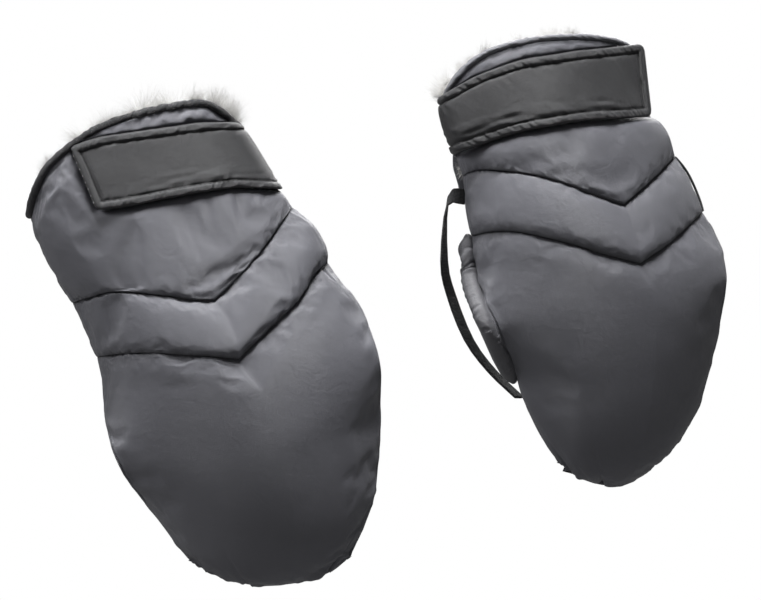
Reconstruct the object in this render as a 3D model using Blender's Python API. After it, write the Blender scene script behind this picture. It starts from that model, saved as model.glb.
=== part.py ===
"""A pair of padded hand muffs, each a quilted nylon mitt lined with pile.

A mitt hangs on a round tube that crosses it from side to side. Its front is one quilted panel of shell,
wadding and pile. Its back is a cuff panel above the tube, a pouch panel below it, and a flap between the
two that opens so that the mitt goes on and off. A wide strap closes the slit on the mitt's inner side.

Each mitt is worked out in its own frame: x across, z up and y away from the front, with zero where the
tube's axis crosses the mitt. Outlines are shares of the mitt's width and length in the x and z plane.
"""

import math

import bmesh
import bpy
import numpy as np
from mathutils import Vector
from mathutils.bvhtree import BVHTree

mm = 0.001

# Sizes of the pair
mitt_width = 176 * mm
mitt_length = 314 * mm
pair_pitch = 224 * mm
pair_rise = 65 * mm
right_setback = 22 * mm

# Sizes across the mitt's thickness
belly_depth = 60 * mm
mouth_depth = 36 * mm
back_depth = 31 * mm
shell_wall = 1.2 * mm
wadding_wall = 6.4 * mm
back_wadding_wall = 3.6 * mm
pile_wall = 5.0 * mm
layer_gap = 0.35 * mm
pile_gap = 0.7 * mm
side_wall = 1.0 * mm
side_wadding = 2.2 * mm
side_pile = 3.0 * mm
seam_gap = 0.6 * mm
slit_width = 6 * mm

# Quilting lines and the rim, where the layers are pressed thin
groove_depth = 5.6 * mm
groove_reach = 8.0 * mm
rim_press = 22 * mm
rim_wadding_share = 0.30
rim_pile_share = 0.50

# The tube that carries the mitts, and the opening behind it
tube_radius = 19 * mm
tube_room = 1.5 * mm
opening_top = 26 * mm
opening_bottom = 30 * mm

# Bindings
cuff_bead_radius = 2.8 * mm
pouch_bead_radius = 2.0 * mm
bead_gap = 0.6 * mm

# Flap behind the tube
flap_top_lap = 9 * mm
flap_bottom_lap = 22 * mm
flap_wall = 1.6 * mm
flap_side_share = 0.16
flap_pile_top_room = 3 * mm
flap_pile_bottom_room = 9 * mm
tape_wall = 1.2 * mm
tape_height = 16 * mm
touch_gap = 0.35 * mm

# Closing strap
strap_wall = 3.6 * mm
strap_gap = 1.0 * mm
strap_tail = 22 * mm
strap_turn = 17 * mm
strap_lift = 18 * mm
strap_stand = 2.2 * mm
patch_length = 62 * mm
patch_margin = 6 * mm
patch_gap = 0.8 * mm

# Webbing and elastic
webbing_width = 11 * mm
webbing_wall = 1.6 * mm
webbing_twist_share = 0.4
hanger_rise = 82 * mm
hanger_lap = 12 * mm
loop_stand = 3.2 * mm
loop_wall = 1.4 * mm
elastic_wall = 1.8 * mm
elastic_width = 8 * mm
elastic_top = 44 * mm
elastic_bottom = 36 * mm

# Counts of panel steps
front_columns = 12
flap_columns = 8
strap_steps = 24
bead_steps = 30

# Shares of a panel's run at which its rows lie, the closest beside the quilting lines and the toe
cuff_row_shares = (0.0, 0.25, 0.5, 0.75, 0.9, 1.0)
band_row_shares = (0.15, 0.5, 0.85, 1.0)
toe_row_shares = (0.04, 0.1, 0.2, 0.34, 0.5, 0.65, 0.78, 0.88, 0.95, 0.982, 1.0)
pile_row_steps = (0, 1, 3, 5, 7, *range(9, 21))
cuff_back_row_shares = (0.0, 0.3, 0.65, 1.0)
strap_level_shares = (0.0, 0.14, 0.5, 0.86, 1.0)
pouch_back_row_shares = (0.0, 0.2, 0.42, 0.64, 0.82, 0.93, 0.98, 1.0)

# Each outline point is a share of the mitt's width and a share of its length
left = {
    "name": "left",
    "inner": "high",
    "centre_shares": (-0.5, -0.5),
    "setback_share": 0.0,
    "tube_turn": math.radians(22),
    "yaw": math.radians(4),
    "lean": math.radians(6),
    "rim_shares": [
        (-0.807, 0.402), (-0.789, 0.450), (-0.742, 0.501), (-0.658, 0.546), (-0.549, 0.585),
        (-0.404, 0.614), (-0.258, 0.634), (-0.167, 0.632), (-0.105, 0.614), (-0.040, 0.577),
    ],
    "first_line_shares": [
        (-0.647, 0.216), (-0.585, 0.226), (-0.495, 0.238), (-0.367, 0.234), (-0.204, 0.224),
        (-0.127, 0.222), (-0.040, 0.269), (0.051, 0.330), (0.145, 0.410),
    ],
    "first_apex_step": 5,
    "second_line_shares": [
        (-0.560, 0.106), (-0.404, 0.114), (-0.204, 0.110), (-0.036, 0.104),
        (0.069, 0.161), (0.171, 0.218), (0.233, 0.273), (0.280, 0.300),
    ],
    "second_apex_step": 3,
    "toe_shares": [
        (-0.215, -0.312), (-0.167, -0.328), (-0.076, -0.349), (0.022, -0.361),
        (0.124, -0.358), (0.244, -0.344), (0.313, -0.325), (0.360, -0.304),
    ],
    "low_x_side_shares": [
        [(-0.807, 0.402), (-0.782, 0.349), (-0.738, 0.300), (-0.687, 0.249), (-0.647, 0.216)],
        [(-0.647, 0.216), (-0.603, 0.159), (-0.560, 0.106)],
        [
            (-0.560, 0.106), (-0.542, 0.059), (-0.534, 0.000), (-0.514, -0.060), (-0.469, -0.124),
            (-0.400, -0.182), (-0.331, -0.232), (-0.273, -0.275), (-0.215, -0.312),
        ],
    ],
    "high_x_side_shares": [
        [(-0.040, 0.577), (0.025, 0.512), (0.088, 0.456), (0.145, 0.410)],
        [(0.145, 0.410), (0.222, 0.373), (0.265, 0.334), (0.280, 0.300)],
        [
            (0.280, 0.300), (0.327, 0.259), (0.385, 0.222), (0.441, 0.155), (0.474, 0.084),
            (0.474, 0.002), (0.470, -0.084), (0.452, -0.175), (0.415, -0.240), (0.360, -0.304),
        ],
    ],
    "strap_top_shares": [(-0.658, 0.532), (-0.549, 0.552), (-0.331, 0.570), (-0.185, 0.583), (-0.029, 0.585)],
    "strap_bottom_shares": [(-0.556, 0.402), (-0.440, 0.410), (-0.258, 0.432), (-0.076, 0.450), (0.095, 0.448)],
    "elastic_out_share": 0.25,
    "strap_tail_share": 1.0,
    "loop_back_share": 1.0,
    "hanger": "behind",
}

right = {
    "name": "right",
    "inner": "low",
    "centre_shares": (0.5, 0.5),
    "setback_share": 1.0,
    "tube_turn": math.radians(9.6),
    "yaw": math.radians(24),
    "lean": math.radians(9),
    "rim_shares": [
        (-0.575, 0.406), (-0.571, 0.436), (-0.542, 0.467), (-0.498, 0.493), (-0.433, 0.520), (-0.349, 0.538),
        (-0.240, 0.552), (-0.131, 0.558), (-0.022, 0.558), (0.069, 0.550), (0.135, 0.532), (0.171, 0.491),
    ],
    "first_line_shares": [
        (-0.502, 0.267), (-0.447, 0.279), (-0.367, 0.277), (-0.258, 0.269), (-0.149, 0.253),
        (-0.022, 0.228), (0.084, 0.210), (0.171, 0.251), (0.276, 0.310),
    ],
    "first_apex_step": 6,
    "second_line_shares": [
        (-0.473, 0.145), (-0.404, 0.153), (-0.313, 0.153), (-0.204, 0.141), (-0.095, 0.126),
        (0.015, 0.108), (0.145, 0.090), (0.251, 0.130), (0.382, 0.196),
    ],
    "second_apex_step": 6,
    "toe_shares": [
        (-0.149, -0.320), (-0.095, -0.342), (-0.040, -0.357), (0.025, -0.365),
        (0.087, -0.361), (0.142, -0.349), (0.185, -0.332), (0.215, -0.314),
    ],
    "low_x_side_shares": [
        [(-0.575, 0.406), (-0.553, 0.357), (-0.524, 0.308), (-0.502, 0.267)],
        [(-0.502, 0.267), (-0.494, 0.228), (-0.485, 0.181), (-0.473, 0.145)],
        [
            (-0.473, 0.145), (-0.462, 0.092), (-0.440, 0.031), (-0.407, -0.022), (-0.367, -0.073),
            (-0.316, -0.135), (-0.287, -0.185), (-0.244, -0.241), (-0.200, -0.283), (-0.149, -0.320),
        ],
    ],
    "high_x_side_shares": [
        [(0.171, 0.491), (0.192, 0.432), (0.226, 0.373), (0.276, 0.310)],
        [(0.276, 0.310), (0.318, 0.275), (0.353, 0.234), (0.382, 0.196)],
        [
            (0.382, 0.196), (0.418, 0.161), (0.455, 0.116), (0.469, 0.065), (0.455, -0.010), (0.433, -0.067),
            (0.407, -0.132), (0.371, -0.198), (0.324, -0.251), (0.273, -0.289), (0.215, -0.314),
        ],
    ],
    "strap_top_shares": [(-0.589, 0.422), (-0.476, 0.465), (-0.295, 0.503), (-0.076, 0.524), (0.142, 0.540)],
    "strap_bottom_shares": [(-0.553, 0.304), (-0.440, 0.328), (-0.295, 0.355), (-0.076, 0.379), (0.189, 0.391)],
    "elastic_out_share": 0.8,
    "strap_tail_share": 0.3,
    "loop_back_share": 0.15,
    "hanger": "beside",
}

# Colours in linear light, with roughness
nylon_grey = ((0.155, 0.155, 0.170), 0.45)
strap_black = ((0.045, 0.045, 0.048), 0.50)
webbing_black = ((0.016, 0.016, 0.018), 0.75)
binding_grey = ((0.070, 0.070, 0.076), 0.55)
wadding_white = ((0.800, 0.800, 0.790), 0.95)
pile_white = ((0.780, 0.780, 0.760), 0.90)
tape_black = ((0.022, 0.022, 0.024), 0.90)


def smooth_line(points, steps=10):
    """A Catmull-Rom line through the points."""
    points = np.asarray(points, float)
    ends = np.vstack([2 * points[0] - points[1], points, 2 * points[-1] - points[-2]])
    t = np.linspace(0, 1, steps, endpoint=False)[:, None]
    pieces = []
    for a, b, c, d in zip(ends, ends[1:], ends[2:], ends[3:]):
        pieces.append(0.5 * (2 * b + (c - a) * t + (2 * a - 5 * b + 4 * c - d) * t**2 + (3 * b - a - 3 * c + d) * t**3))
    return np.vstack([*pieces, points[-1:]])


def spread(line):
    """A function from a share of the line's length to the point there."""
    line = np.asarray(line, float)
    length = np.concatenate([[0], np.cumsum(np.linalg.norm(np.diff(line, axis=0), axis=1))])
    length /= length[-1]

    def at(share):
        share = np.atleast_1d(share)
        return np.stack([np.interp(share, length, line[:, k]) for k in range(line.shape[1])], axis=1)

    return at


def bent_line(points, apex, apex_column):
    """A quilting line of two smooth legs that meet in a sharp apex at a fixed column."""
    first, second = spread(smooth_line(points[:apex + 1])), spread(smooth_line(points[apex:]))

    def at(share):
        share = np.atleast_1d(share)[:, None]
        low = first(np.clip(share[:, 0] / apex_column, 0, 1))
        high = second(np.clip((share[:, 0] - apex_column) / (1 - apex_column), 0, 1))
        return np.where(share < apex_column, low, high)

    return at


def patch(top, bottom, low_side, high_side):
    """A Coons patch in the x and z plane: four border lines blended across their inside."""

    def at(across, down):
        across = np.atleast_1d(across)[:, None]
        top_low, top_high, bottom_low, bottom_high = top(0), top(1), bottom(0), bottom(1)
        flat = (1 - down) * top(across[:, 0]) + down * bottom(across[:, 0])
        flat += (1 - across) * low_side(down) + across * high_side(down)
        corners = (1 - down) * ((1 - across) * top_low + across * top_high)
        corners += down * ((1 - across) * bottom_low + across * bottom_high)
        return flat - corners

    return at


def columns(count):
    """Shares across a panel, closer together towards its sides."""
    return (1 - np.cos(np.pi * np.arange(count + 1) / count)) / 2


def tube_distance(mitt, points):
    """Height above the tube's axis, square to it."""
    turn = mitt["tube_turn"]
    return points[..., 1] * math.cos(turn) - points[..., 0] * math.sin(turn)


def edge_depth(mitt, points):
    """Where the side seam lies: scooped forward round the tube, and at zero away from it."""
    distance = tube_distance(mitt, points)
    reach = np.where(distance > 0, opening_top, opening_bottom)
    return -(tube_radius + tube_room) * np.clip(1 - (distance / reach) ** 2, 0, 1)


def make_form(mitt):
    """The lines and patches of one mitt, in its own frame, with room left at the rim for its binding."""
    size = np.array([mitt_width, mitt_length])
    lines = {key: np.array(mitt[key]) * size for key in ("first_line_shares", "second_line_shares", "toe_shares")}
    rim_top = smooth_line(np.array(mitt["rim_shares"]) * size)
    along = np.gradient(rim_top, axis=0)
    inward = np.column_stack([along[:, 1], -along[:, 0]]) / np.linalg.norm(along, axis=1, keepdims=True)
    rim = rim_top + inward * (2 * cuff_bead_radius + bead_gap)
    ends = {"low_x_side_shares": rim[0], "high_x_side_shares": rim[-1]}
    rim = spread(rim)
    sides = {}
    for key in ("low_x_side_shares", "high_x_side_shares"):
        runs = [np.array(run) * size for run in mitt[key]]
        runs[0][0] = ends[key]
        sides[key] = [smooth_line(run) for run in runs]
    low, high = sides["low_x_side_shares"], sides["high_x_side_shares"]
    apex_column = columns(front_columns)[front_columns // 2 + 1 if mitt["first_apex_step"] > 4 else front_columns // 2]
    first = bent_line(lines["first_line_shares"], mitt["first_apex_step"], apex_column)
    second = bent_line(lines["second_line_shares"], mitt["second_apex_step"], apex_column)
    toe = spread(smooth_line(lines["toe_shares"]))
    form = {
        "mitt": mitt,
        "rim_top": spread(rim_top),
        "rim": rim,
        "toe": toe,
        "low_side": np.vstack(low),
        "high_side": np.vstack(high),
        "patches": [
            patch(rim, first, spread(low[0]), spread(high[0])),
            patch(first, second, spread(low[1]), spread(high[1])),
            patch(second, toe, spread(low[2]), spread(high[2])),
        ],
    }
    form["runs"] = [float(np.linalg.norm(p(0.5, 1.0) - p(0.5, 0.0))) for p in form["patches"]]
    form["cuff_back"] = back_patch(form, rim, 0, opening_top)
    form["pouch_back"] = back_patch(form, toe, -1, -opening_bottom)
    return form


def back_patch(form, border, end, height):
    """A back panel between the rim or toe and a straight edge beside the tube."""
    mitt = form["mitt"]
    sides = []
    for line in (form["low_side"], form["high_side"]):
        distance = tube_distance(mitt, line)
        cut = int(np.argmax(distance < height))
        share = (distance[cut - 1] - height) / (distance[cut - 1] - distance[cut])
        point = line[cut - 1] + share * (line[cut] - line[cut - 1])
        side = np.vstack([line[:cut], point]) if end == 0 else np.vstack([point, line[cut:]])
        sides.append(side)
    low, high = sides
    if end == 0:
        edge = spread([low[-1], high[-1]])
        return patch(border, edge, spread(low), spread(high))
    edge = spread([low[0], high[0]])
    return patch(edge, border, spread(low), spread(high))


def inset_columns(flat, across, inset):
    """Column shares drawn in from both sides by a real distance."""
    width = float(np.linalg.norm(flat(1.0) - flat(0.0)))
    return inset / width + across * (1 - 2 * inset / width)


def front_sheet(form, count, rows, side_inset, depth_inset, grooved):
    """A grid of points on one layer of the front panel, as rows from the rim to the toe."""
    mitt, grid = form["mitt"], []
    across = columns(count)
    for number, down in rows:
        flat = form["patches"][number]
        run = form["runs"][number]
        placed = down * (1 - side_inset / run) if number == 2 else down
        shares = inset_columns(lambda a: flat(a, placed), across, side_inset)
        points = flat(shares, placed)
        full = np.sin(np.pi * across) ** 0.55
        if number == 2:
            full = full * (1 - down**3) ** 0.5
        stage = number + down
        depth = mouth_depth + (belly_depth - mouth_depth) * math.sin(math.pi / 2 * min(stage / 2.4, 1))
        ways = {0: (1 - down) * run, 1: min(down, 1 - down) * run, 2: down * run}
        if grooved:
            depth -= groove_depth * math.exp(-ways[number] / groove_reach)
        pressed = min(stage * form["runs"][0] / rim_press, 1) if number == 0 else 1
        depth -= depth_inset(pressed)
        y = edge_depth(mitt, points) * (1 - full) - depth * full
        grid.append(np.column_stack([points[:, 0], y, points[:, 1]]))
    return np.array(grid)


def back_sheet(form, part, count, rows, side_inset, depth_inset):
    """A grid of points on one layer of a back panel."""
    mitt, grid = form["mitt"], []
    across = columns(count)
    flat = form[part]
    run = float(np.linalg.norm(flat(0.5, 1.0) - flat(0.5, 0.0)))
    for down in rows:
        placed = down * (1 - side_inset / run) if part == "pouch_back" else down
        shares = inset_columns(lambda a: flat(a, placed), across, side_inset)
        points = flat(shares, placed)
        full = np.sin(np.pi * across) ** 0.5
        if part == "pouch_back":
            full = full * (1 - down**3) ** 0.5
        pressed = min(down * run / rim_press, 1) if part == "cuff_back" else 1
        open_side = (across > 0.5) == (mitt["inner"] == "high")
        gap = np.where(open_side & (part == "cuff_back"), slit_width, seam_gap)
        y = (edge_depth(mitt, points) + gap) * (1 - full) + (back_depth - depth_inset(pressed)) * full
        grid.append(np.column_stack([points[:, 0], y, points[:, 1]]))
    return np.array(grid)


def layer_depths(wadding):
    """Depth of each layer's two faces below the outside, as functions of how far the rim presses them."""
    def at_wadding_top(pressed):
        return shell_wall + layer_gap

    def at_wadding_bottom(pressed):
        share = rim_wadding_share + (1 - rim_wadding_share) * pressed
        return at_wadding_top(pressed) + wadding * share

    def at_pile_top(pressed):
        return at_wadding_bottom(pressed) + pile_gap

    def at_pile_bottom(pressed):
        return at_pile_top(pressed) + pile_wall * (rim_pile_share + (1 - rim_pile_share) * pressed)

    return {
        "shell": (lambda pressed: 0.0, lambda pressed: shell_wall),
        "wadding": (at_wadding_top, at_wadding_bottom),
        "pile": (at_pile_top, at_pile_bottom),
    }


side_insets = {
    "shell": (0.0, side_wall),
    "wadding": (side_wall + layer_gap, side_wall + layer_gap + side_wadding),
    "pile": (
        side_wall + layer_gap + side_wadding + pile_gap,
        side_wall + layer_gap + side_wadding + pile_gap + side_pile,
    ),
}


class Body:
    """One rigid group of pieces, hung on an empty that sits on the group's joint axis."""

    def __init__(self, collection, mitt, name, pivot, parent=None):
        self.collection, self.mitt, self.pivot = collection, mitt, Vector(pivot)
        self.empty = bpy.data.objects.new(name + "_axis", None)
        self.empty.empty_display_size = tube_radius
        collection.objects.link(self.empty)
        if parent:
            self.empty.parent = parent.empty
            self.empty.location = self.pivot - parent.pivot
        else:
            self.empty.location = self.pivot

    def add(self, name, mesh, finish):
        colour, roughness = finish
        piece = bpy.data.objects.new(self.mitt["name"] + "_" + name, mesh)
        material = bpy.data.materials.new(piece.name)
        material.use_nodes = True
        shader = material.node_tree.nodes["Principled BSDF"]
        shader.inputs["Base Color"].default_value = (*colour, 1)
        shader.inputs["Roughness"].default_value = roughness
        shader.inputs["Metallic"].default_value = 0
        mesh.materials.clear()
        mesh.materials.append(material)
        self.collection.objects.link(piece)
        piece.parent = self.empty
        return piece

    def slab(self, name, outer, inner, finish):
        """A closed sheet between two grids of points of the same shape."""
        rows, count = outer.shape[:2]
        shape = bmesh.new()
        bmesh.ops.create_grid(shape, x_segments=count - 1, y_segments=rows - 1, size=0.5)
        first = set(shape.verts)
        bmesh.ops.extrude_face_region(shape, geom=shape.faces[:])
        for corner in shape.verts:
            i = round((corner.co.x + 0.5) * (count - 1))
            j = round((corner.co.y + 0.5) * (rows - 1))
            grid = outer if corner in first else inner
            corner.co = world(self.mitt, grid[j, i]) - self.pivot
        bmesh.ops.triangulate(shape, faces=shape.faces[:], quad_method="BEAUTY")
        bmesh.ops.recalc_face_normals(shape, faces=shape.faces[:])
        if shape.calc_volume(signed=True) < 0:
            bmesh.ops.reverse_faces(shape, faces=shape.faces[:])
        mesh = bpy.data.meshes.new(self.mitt["name"] + "_" + name)
        shape.to_mesh(mesh)
        shape.free()
        mesh.shade_smooth()
        mesh.set_sharp_from_angle(angle=math.radians(50))
        return self.add(name, mesh, finish)

    def bead(self, name, path, radius, finish):
        """A round bead along a path, with closed ends."""
        curve = bpy.data.curves.new(name, "CURVE")
        curve.dimensions = "3D"
        curve.bevel_depth = radius
        curve.bevel_resolution = 1
        curve.use_fill_caps = True
        spline = curve.splines.new("POLY")
        spline.points.add(len(path) - 1)
        for point, place in zip(spline.points, path):
            point.co = (*(world(self.mitt, place) - self.pivot), 1)
        return self.add(name, curve, finish)


def world(mitt, point):
    """From a mitt's own frame to the pair's frame: turned aside and leant back by sliding it in depth."""
    x, y, z = (float(value) for value in point)
    across, up = mitt["centre_shares"]
    depth = y + x * math.tan(mitt["yaw"]) + z * math.tan(mitt["lean"]) + mitt["setback_share"] * right_setback
    return Vector((x + across * pair_pitch, depth, z + up * pair_rise))


def envelope(form):
    """The mitt's outside as one surface, for what lies against it, carried up past the rim."""
    rows = front_rows()
    front = front_sheet(form, 24, rows, 0.0, lambda pressed: 0.0, False)
    cuff = back_sheet(form, "cuff_back", 24, cuff_back_row_shares, 0.0, lambda pressed: 0.0)
    pouch = back_sheet(form, "pouch_back", 24, pouch_back_row_shares, 0.0, lambda pressed: 0.0)
    shares = columns(24)
    shift = form["rim_top"](shares) - form["rim"](shares)
    shift = np.column_stack([shift[:, 0], np.zeros(len(shares)), shift[:, 1]])
    lift = np.array([0, 0, 4 * cuff_bead_radius])
    front = np.concatenate([front[:1] + shift + lift, front[:1] + shift, front])
    back = np.concatenate([cuff[:1] + shift + lift, cuff[:1] + shift, cuff, pouch])
    corners, faces = [], []
    for grid in (front, back):
        start = len(corners)
        count = grid.shape[1]
        corners += [tuple(point) for point in grid.reshape(-1, 3)]
        for j in range(grid.shape[0] - 1):
            for i in range(count - 1):
                a = start + j * count + i
                faces.append((a, a + 1, a + count + 1, a + count))
    return BVHTree.FromPolygons(corners, faces)


def front_rows():
    """The front panel's rows: the number of its part and the share down that part."""
    rows = [(0, share) for share in cuff_row_shares]
    rows += [(1, share) for share in band_row_shares]
    return rows + [(2, share) for share in toe_row_shares]


def inner_outline(form):
    """The mitt's outline on its inner side, from the top of the rim downwards."""
    rim = form["rim_top"](np.linspace(0, 1, 120))
    top = int(np.argmax(rim[:, 1]))
    if form["mitt"]["inner"] == "high":
        return np.vstack([rim[top:], form["high_side"][1:]])
    return np.vstack([rim[:top + 1][::-1], form["low_side"][1:]])


def strap_lines(form, tree, sample_count):
    """Lines on the mitt's outside under the strap: over the front, round the inner side and onto the back."""
    mitt = form["mitt"]
    size = np.array([mitt_width, mitt_length])
    top, bottom = (np.array(mitt[key]) * size for key in ("strap_top_shares", "strap_bottom_shares"))
    sign = 1 if mitt["inner"] == "high" else -1
    free = 0 if sign > 0 else -1
    outline = inner_outline(form)
    order = np.argsort(outline[:, 1])
    far = 2 * mitt_width
    lines = []
    for level in strap_level_shares:

        def height(x):
            return (1 - level) * np.interp(x, *top.T) + level * np.interp(x, *bottom.T)

        def seat(x, way):
            hit = tree.ray_cast(Vector((x, -way * far, height(x))), Vector((0, way, 0)))[0]
            return -way * (max(-way * hit.y, strap_lift) if hit else strap_lift)

        side = outline[0, 0]
        for _ in range(8):
            side = float(np.interp(height(side), outline[order, 1], outline[order, 0]))
        turn = side - sign * strap_turn
        start = (1 - level) * top[free, 0] + level * bottom[free, 0]
        front = [(x, seat(x, 1), height(x)) for x in np.linspace(start, turn, 60)]
        back = [(x, seat(x, -1), height(x)) for x in np.linspace(turn, turn - sign * strap_tail * mitt["strap_tail_share"], 20)]
        middle, half = (back[0][1] + front[-1][1]) / 2, (back[0][1] - front[-1][1]) / 2
        round_side = []
        for angle in np.linspace(-math.pi / 2, math.pi / 2, 26)[1:-1]:
            x = turn + (side + sign * strap_stand - turn) * math.cos(angle) ** 0.65
            round_side.append((x, middle + half * math.sin(angle), height(x)))
        track = smooth_track(np.array(front + round_side + back))
        lines.append(spread(track)(np.linspace(0, 1, sample_count)))
    return np.array(lines)


def smooth_track(track):
    """The track with its small dents taken out, as a stiff band bridges them."""
    weights = np.ones(7) / 7
    padded = np.vstack([np.repeat(track[:1], 3, axis=0), track, np.repeat(track[-1:], 3, axis=0)])
    even = np.column_stack([np.convolve(padded[:, k], weights, "valid") for k in range(3)])
    even[0], even[-1] = track[0], track[-1]
    return even


def offset_band(mitt, lines, offset):
    """The band moved outwards in plan by a distance for each of its steps."""
    away = 1 if mitt["inner"] == "high" else -1
    forward = np.gradient(lines, axis=1)
    out = np.stack([forward[..., 1], -forward[..., 0]], axis=-1) * away
    out /= np.linalg.norm(out, axis=-1, keepdims=True)
    moved = lines.copy()
    moved[..., :2] += out * np.asarray(offset)[None, :, None]
    return moved


def make_front(body, form):
    depths = layer_depths(wadding_wall)
    rows = front_rows()
    for layer, finish in (("shell", nylon_grey), ("wadding", wadding_white), ("pile", pile_white)):
        used = [rows[k] for k in pile_row_steps] if layer == "pile" else rows
        grids = []
        for face in (0, 1):
            grooved = layer == "shell" or (layer == "wadding" and face == 0)
            grids.append(front_sheet(form, front_columns, used, side_insets[layer][face], depths[layer][face], grooved))
        body.slab("front_" + layer, *grids, finish)


def make_back(body, form):
    depths = layer_depths(back_wadding_wall)
    for part, rows in (("cuff_back", cuff_back_row_shares), ("pouch_back", pouch_back_row_shares)):
        for layer, finish in (("shell", nylon_grey), ("wadding", wadding_white), ("pile", pile_white)):
            grids = []
            for face in (0, 1):
                grids.append(back_sheet(form, part, front_columns, rows, side_insets[layer][face], depths[layer][face]))
            body.slab(part + "_" + layer, *grids, finish)


def make_cuff_binding(body, form):
    """A bead over the rim's layers, open at the slit on the mitt's inner side."""
    mitt = form["mitt"]
    inset = cuff_bead_radius + bead_gap
    shares = np.linspace(0, 1, bead_steps // 2 + 1)
    shares = (1 - np.cos(np.pi * (0.09 + 0.91 * shares))) / 2
    from_inner = shares if mitt["inner"] == "low" else 1 - shares
    lower = cuff_bead_radius / (2 * cuff_bead_radius + bead_gap)
    flat = form["rim_top"](from_inner) * (1 - lower) + form["rim"](from_inner) * lower
    full = np.sin(np.pi * np.clip(from_inner, 0, 1))
    edge = edge_depth(mitt, flat)
    front = np.column_stack([flat[:, 0], edge * (1 - full**0.55) - (mouth_depth - inset) * full**0.55, flat[:, 1]])
    back = np.column_stack([flat[:, 0], edge * (1 - full**0.5) + (back_depth - inset) * full**0.5, flat[:, 1]])
    body.bead("cuff_binding", np.vstack([front, back[-2::-1]]), cuff_bead_radius, binding_grey)


def make_pouch_binding(body, form):
    """A bead on the pouch panel's upper edge, just under the tube."""
    mitt = form["mitt"]
    flat = form["pouch_back"]
    across = np.linspace(0.04, 0.96, bead_steps // 2)
    turn = mitt["tube_turn"]
    up = np.array([-math.sin(turn), math.cos(turn)]) * (pouch_bead_radius + bead_gap)
    points = flat(across, 0.0) + up
    full = np.sin(np.pi * across) ** 0.5
    middle = (shell_wall + layer_gap + back_wadding_wall + pile_gap + pile_wall) / 2
    y = (edge_depth(mitt, points) + seam_gap) * (1 - full) + (back_depth - middle) * full
    body.bead("pouch_binding", np.column_stack([points[:, 0], y, points[:, 1]]), pouch_bead_radius, binding_grey)


def flap_grid(form, tree, heights, shares, offsets):
    """Points on the mitt's back at heights square to the tube, moved out by an offset for each height."""
    mitt = form["mitt"]
    turn = mitt["tube_turn"]
    ways = np.array([math.cos(turn), math.sin(turn)]), np.array([-math.sin(turn), math.cos(turn)])
    flat = form["pouch_back"]
    ends = flat(0.0, 0.0)[0] @ ways[0], flat(1.0, 0.0)[0] @ ways[0]
    grid = []
    for height, offset in zip(heights, offsets):
        row = []
        for share in shares:
            point = ways[0] * (ends[0] + (ends[1] - ends[0]) * share) + ways[1] * height
            hit = tree.ray_cast(Vector((point[0], 4 * back_depth, point[1])), Vector((0, -1, 0)))[0]
            row.append((point[0], hit.y + offset, point[1]))
        grid.append(row)
    return np.array(grid)


def make_flap(still, moving, form, tree):
    """The flap that closes the back over the tube, its lining, and its hook and loop tapes."""
    shares = np.linspace(flap_side_share, 1 - flap_side_share, flap_columns + 1)
    top, bottom = opening_top + flap_top_lap, -opening_bottom - flap_bottom_lap
    pile_levels = np.linspace(opening_top - flap_pile_top_room, -opening_bottom + flap_pile_bottom_room, 4)
    heights = np.array([top, opening_top, *pile_levels, -opening_bottom, (bottom - opening_bottom) / 2, bottom])
    rise = np.clip((top - heights) / top, 0, 1)
    rise = rise * rise * (3 - 2 * rise)
    under = touch_gap * (1 - rise) + (2 * tape_wall + 3 * touch_gap) * rise
    near = flap_grid(form, tree, heights, shares, under)
    far = flap_grid(form, tree, heights, shares, under + flap_wall)
    moving.slab("back_flap_shell", far, near, nylon_grey)
    lined = slice(2, 2 + len(pile_levels))
    cover = near[lined, 1:-1] - np.array([0, touch_gap, 0])
    moving.slab("back_flap_pile", cover, cover - np.array([0, pile_wall, 0]), pile_white)
    tape_middle = -opening_bottom - flap_bottom_lap / 2 - layer_gap
    tape_levels = tape_middle + tape_height * np.array([0.5, 0.0, -0.5])
    steps = [touch_gap, touch_gap + tape_wall, 2 * touch_gap + tape_wall, 2 * touch_gap + 2 * tape_wall]
    faces = [flap_grid(form, tree, tape_levels, shares[1:-1], np.full(3, step)) for step in steps]
    still.slab("pouch_loop_tape", faces[1], faces[0], tape_black)
    moving.slab("flap_hook_tape", faces[3], faces[2], tape_black)


def make_strap(still, moving, form, lines):
    """The padded closing strap with its hook patch, and the loop patch under it on the cuff."""
    mitt = form["mitt"]
    mean = lines.mean(axis=0)
    length = np.concatenate([[0], np.cumsum(np.linalg.norm(np.diff(mean, axis=0), axis=1))])
    stack = patch_gap + 2 * tape_wall + 2 * touch_gap
    eased = np.clip((length - patch_length - 2 * patch_margin) / patch_length, 0, 1)
    eased = eased * eased * (3 - 2 * eased)
    under = stack + (strap_gap - stack) * eased
    moving.slab("cuff_strap", offset_band(mitt, lines, under + strap_wall), offset_band(mitt, lines, under), strap_black)
    held = (length > patch_margin) & (length < patch_margin + patch_length)
    steps = patch_gap + np.array([0, tape_wall, tape_wall + touch_gap, 2 * tape_wall + touch_gap])
    faces = [offset_band(mitt, lines, np.full(len(length), step))[1:-1, held] for step in steps]
    still.slab("cuff_loop_patch", faces[1], faces[0], tape_black)
    moving.slab("strap_hook_patch", faces[3], faces[2], tape_black)


def side_point(form, high, height):
    """The point of a side seam at a height above the tube's crossing, with the seam's outward way."""
    line = form["high_side"] if high else form["low_side"]
    order = np.argsort(line[:, 1])
    x = float(np.interp(height, line[order, 1], line[order, 0]))
    step = 4 * elastic_wall
    slope = float(np.interp(height + step, line[order, 1], line[order, 0])) - x
    way = np.array([step, -slope]) * (1 if high else -1)
    flat = np.array([x, height])
    return flat, way / np.linalg.norm(way), float(edge_depth(form["mitt"], flat))


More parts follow.
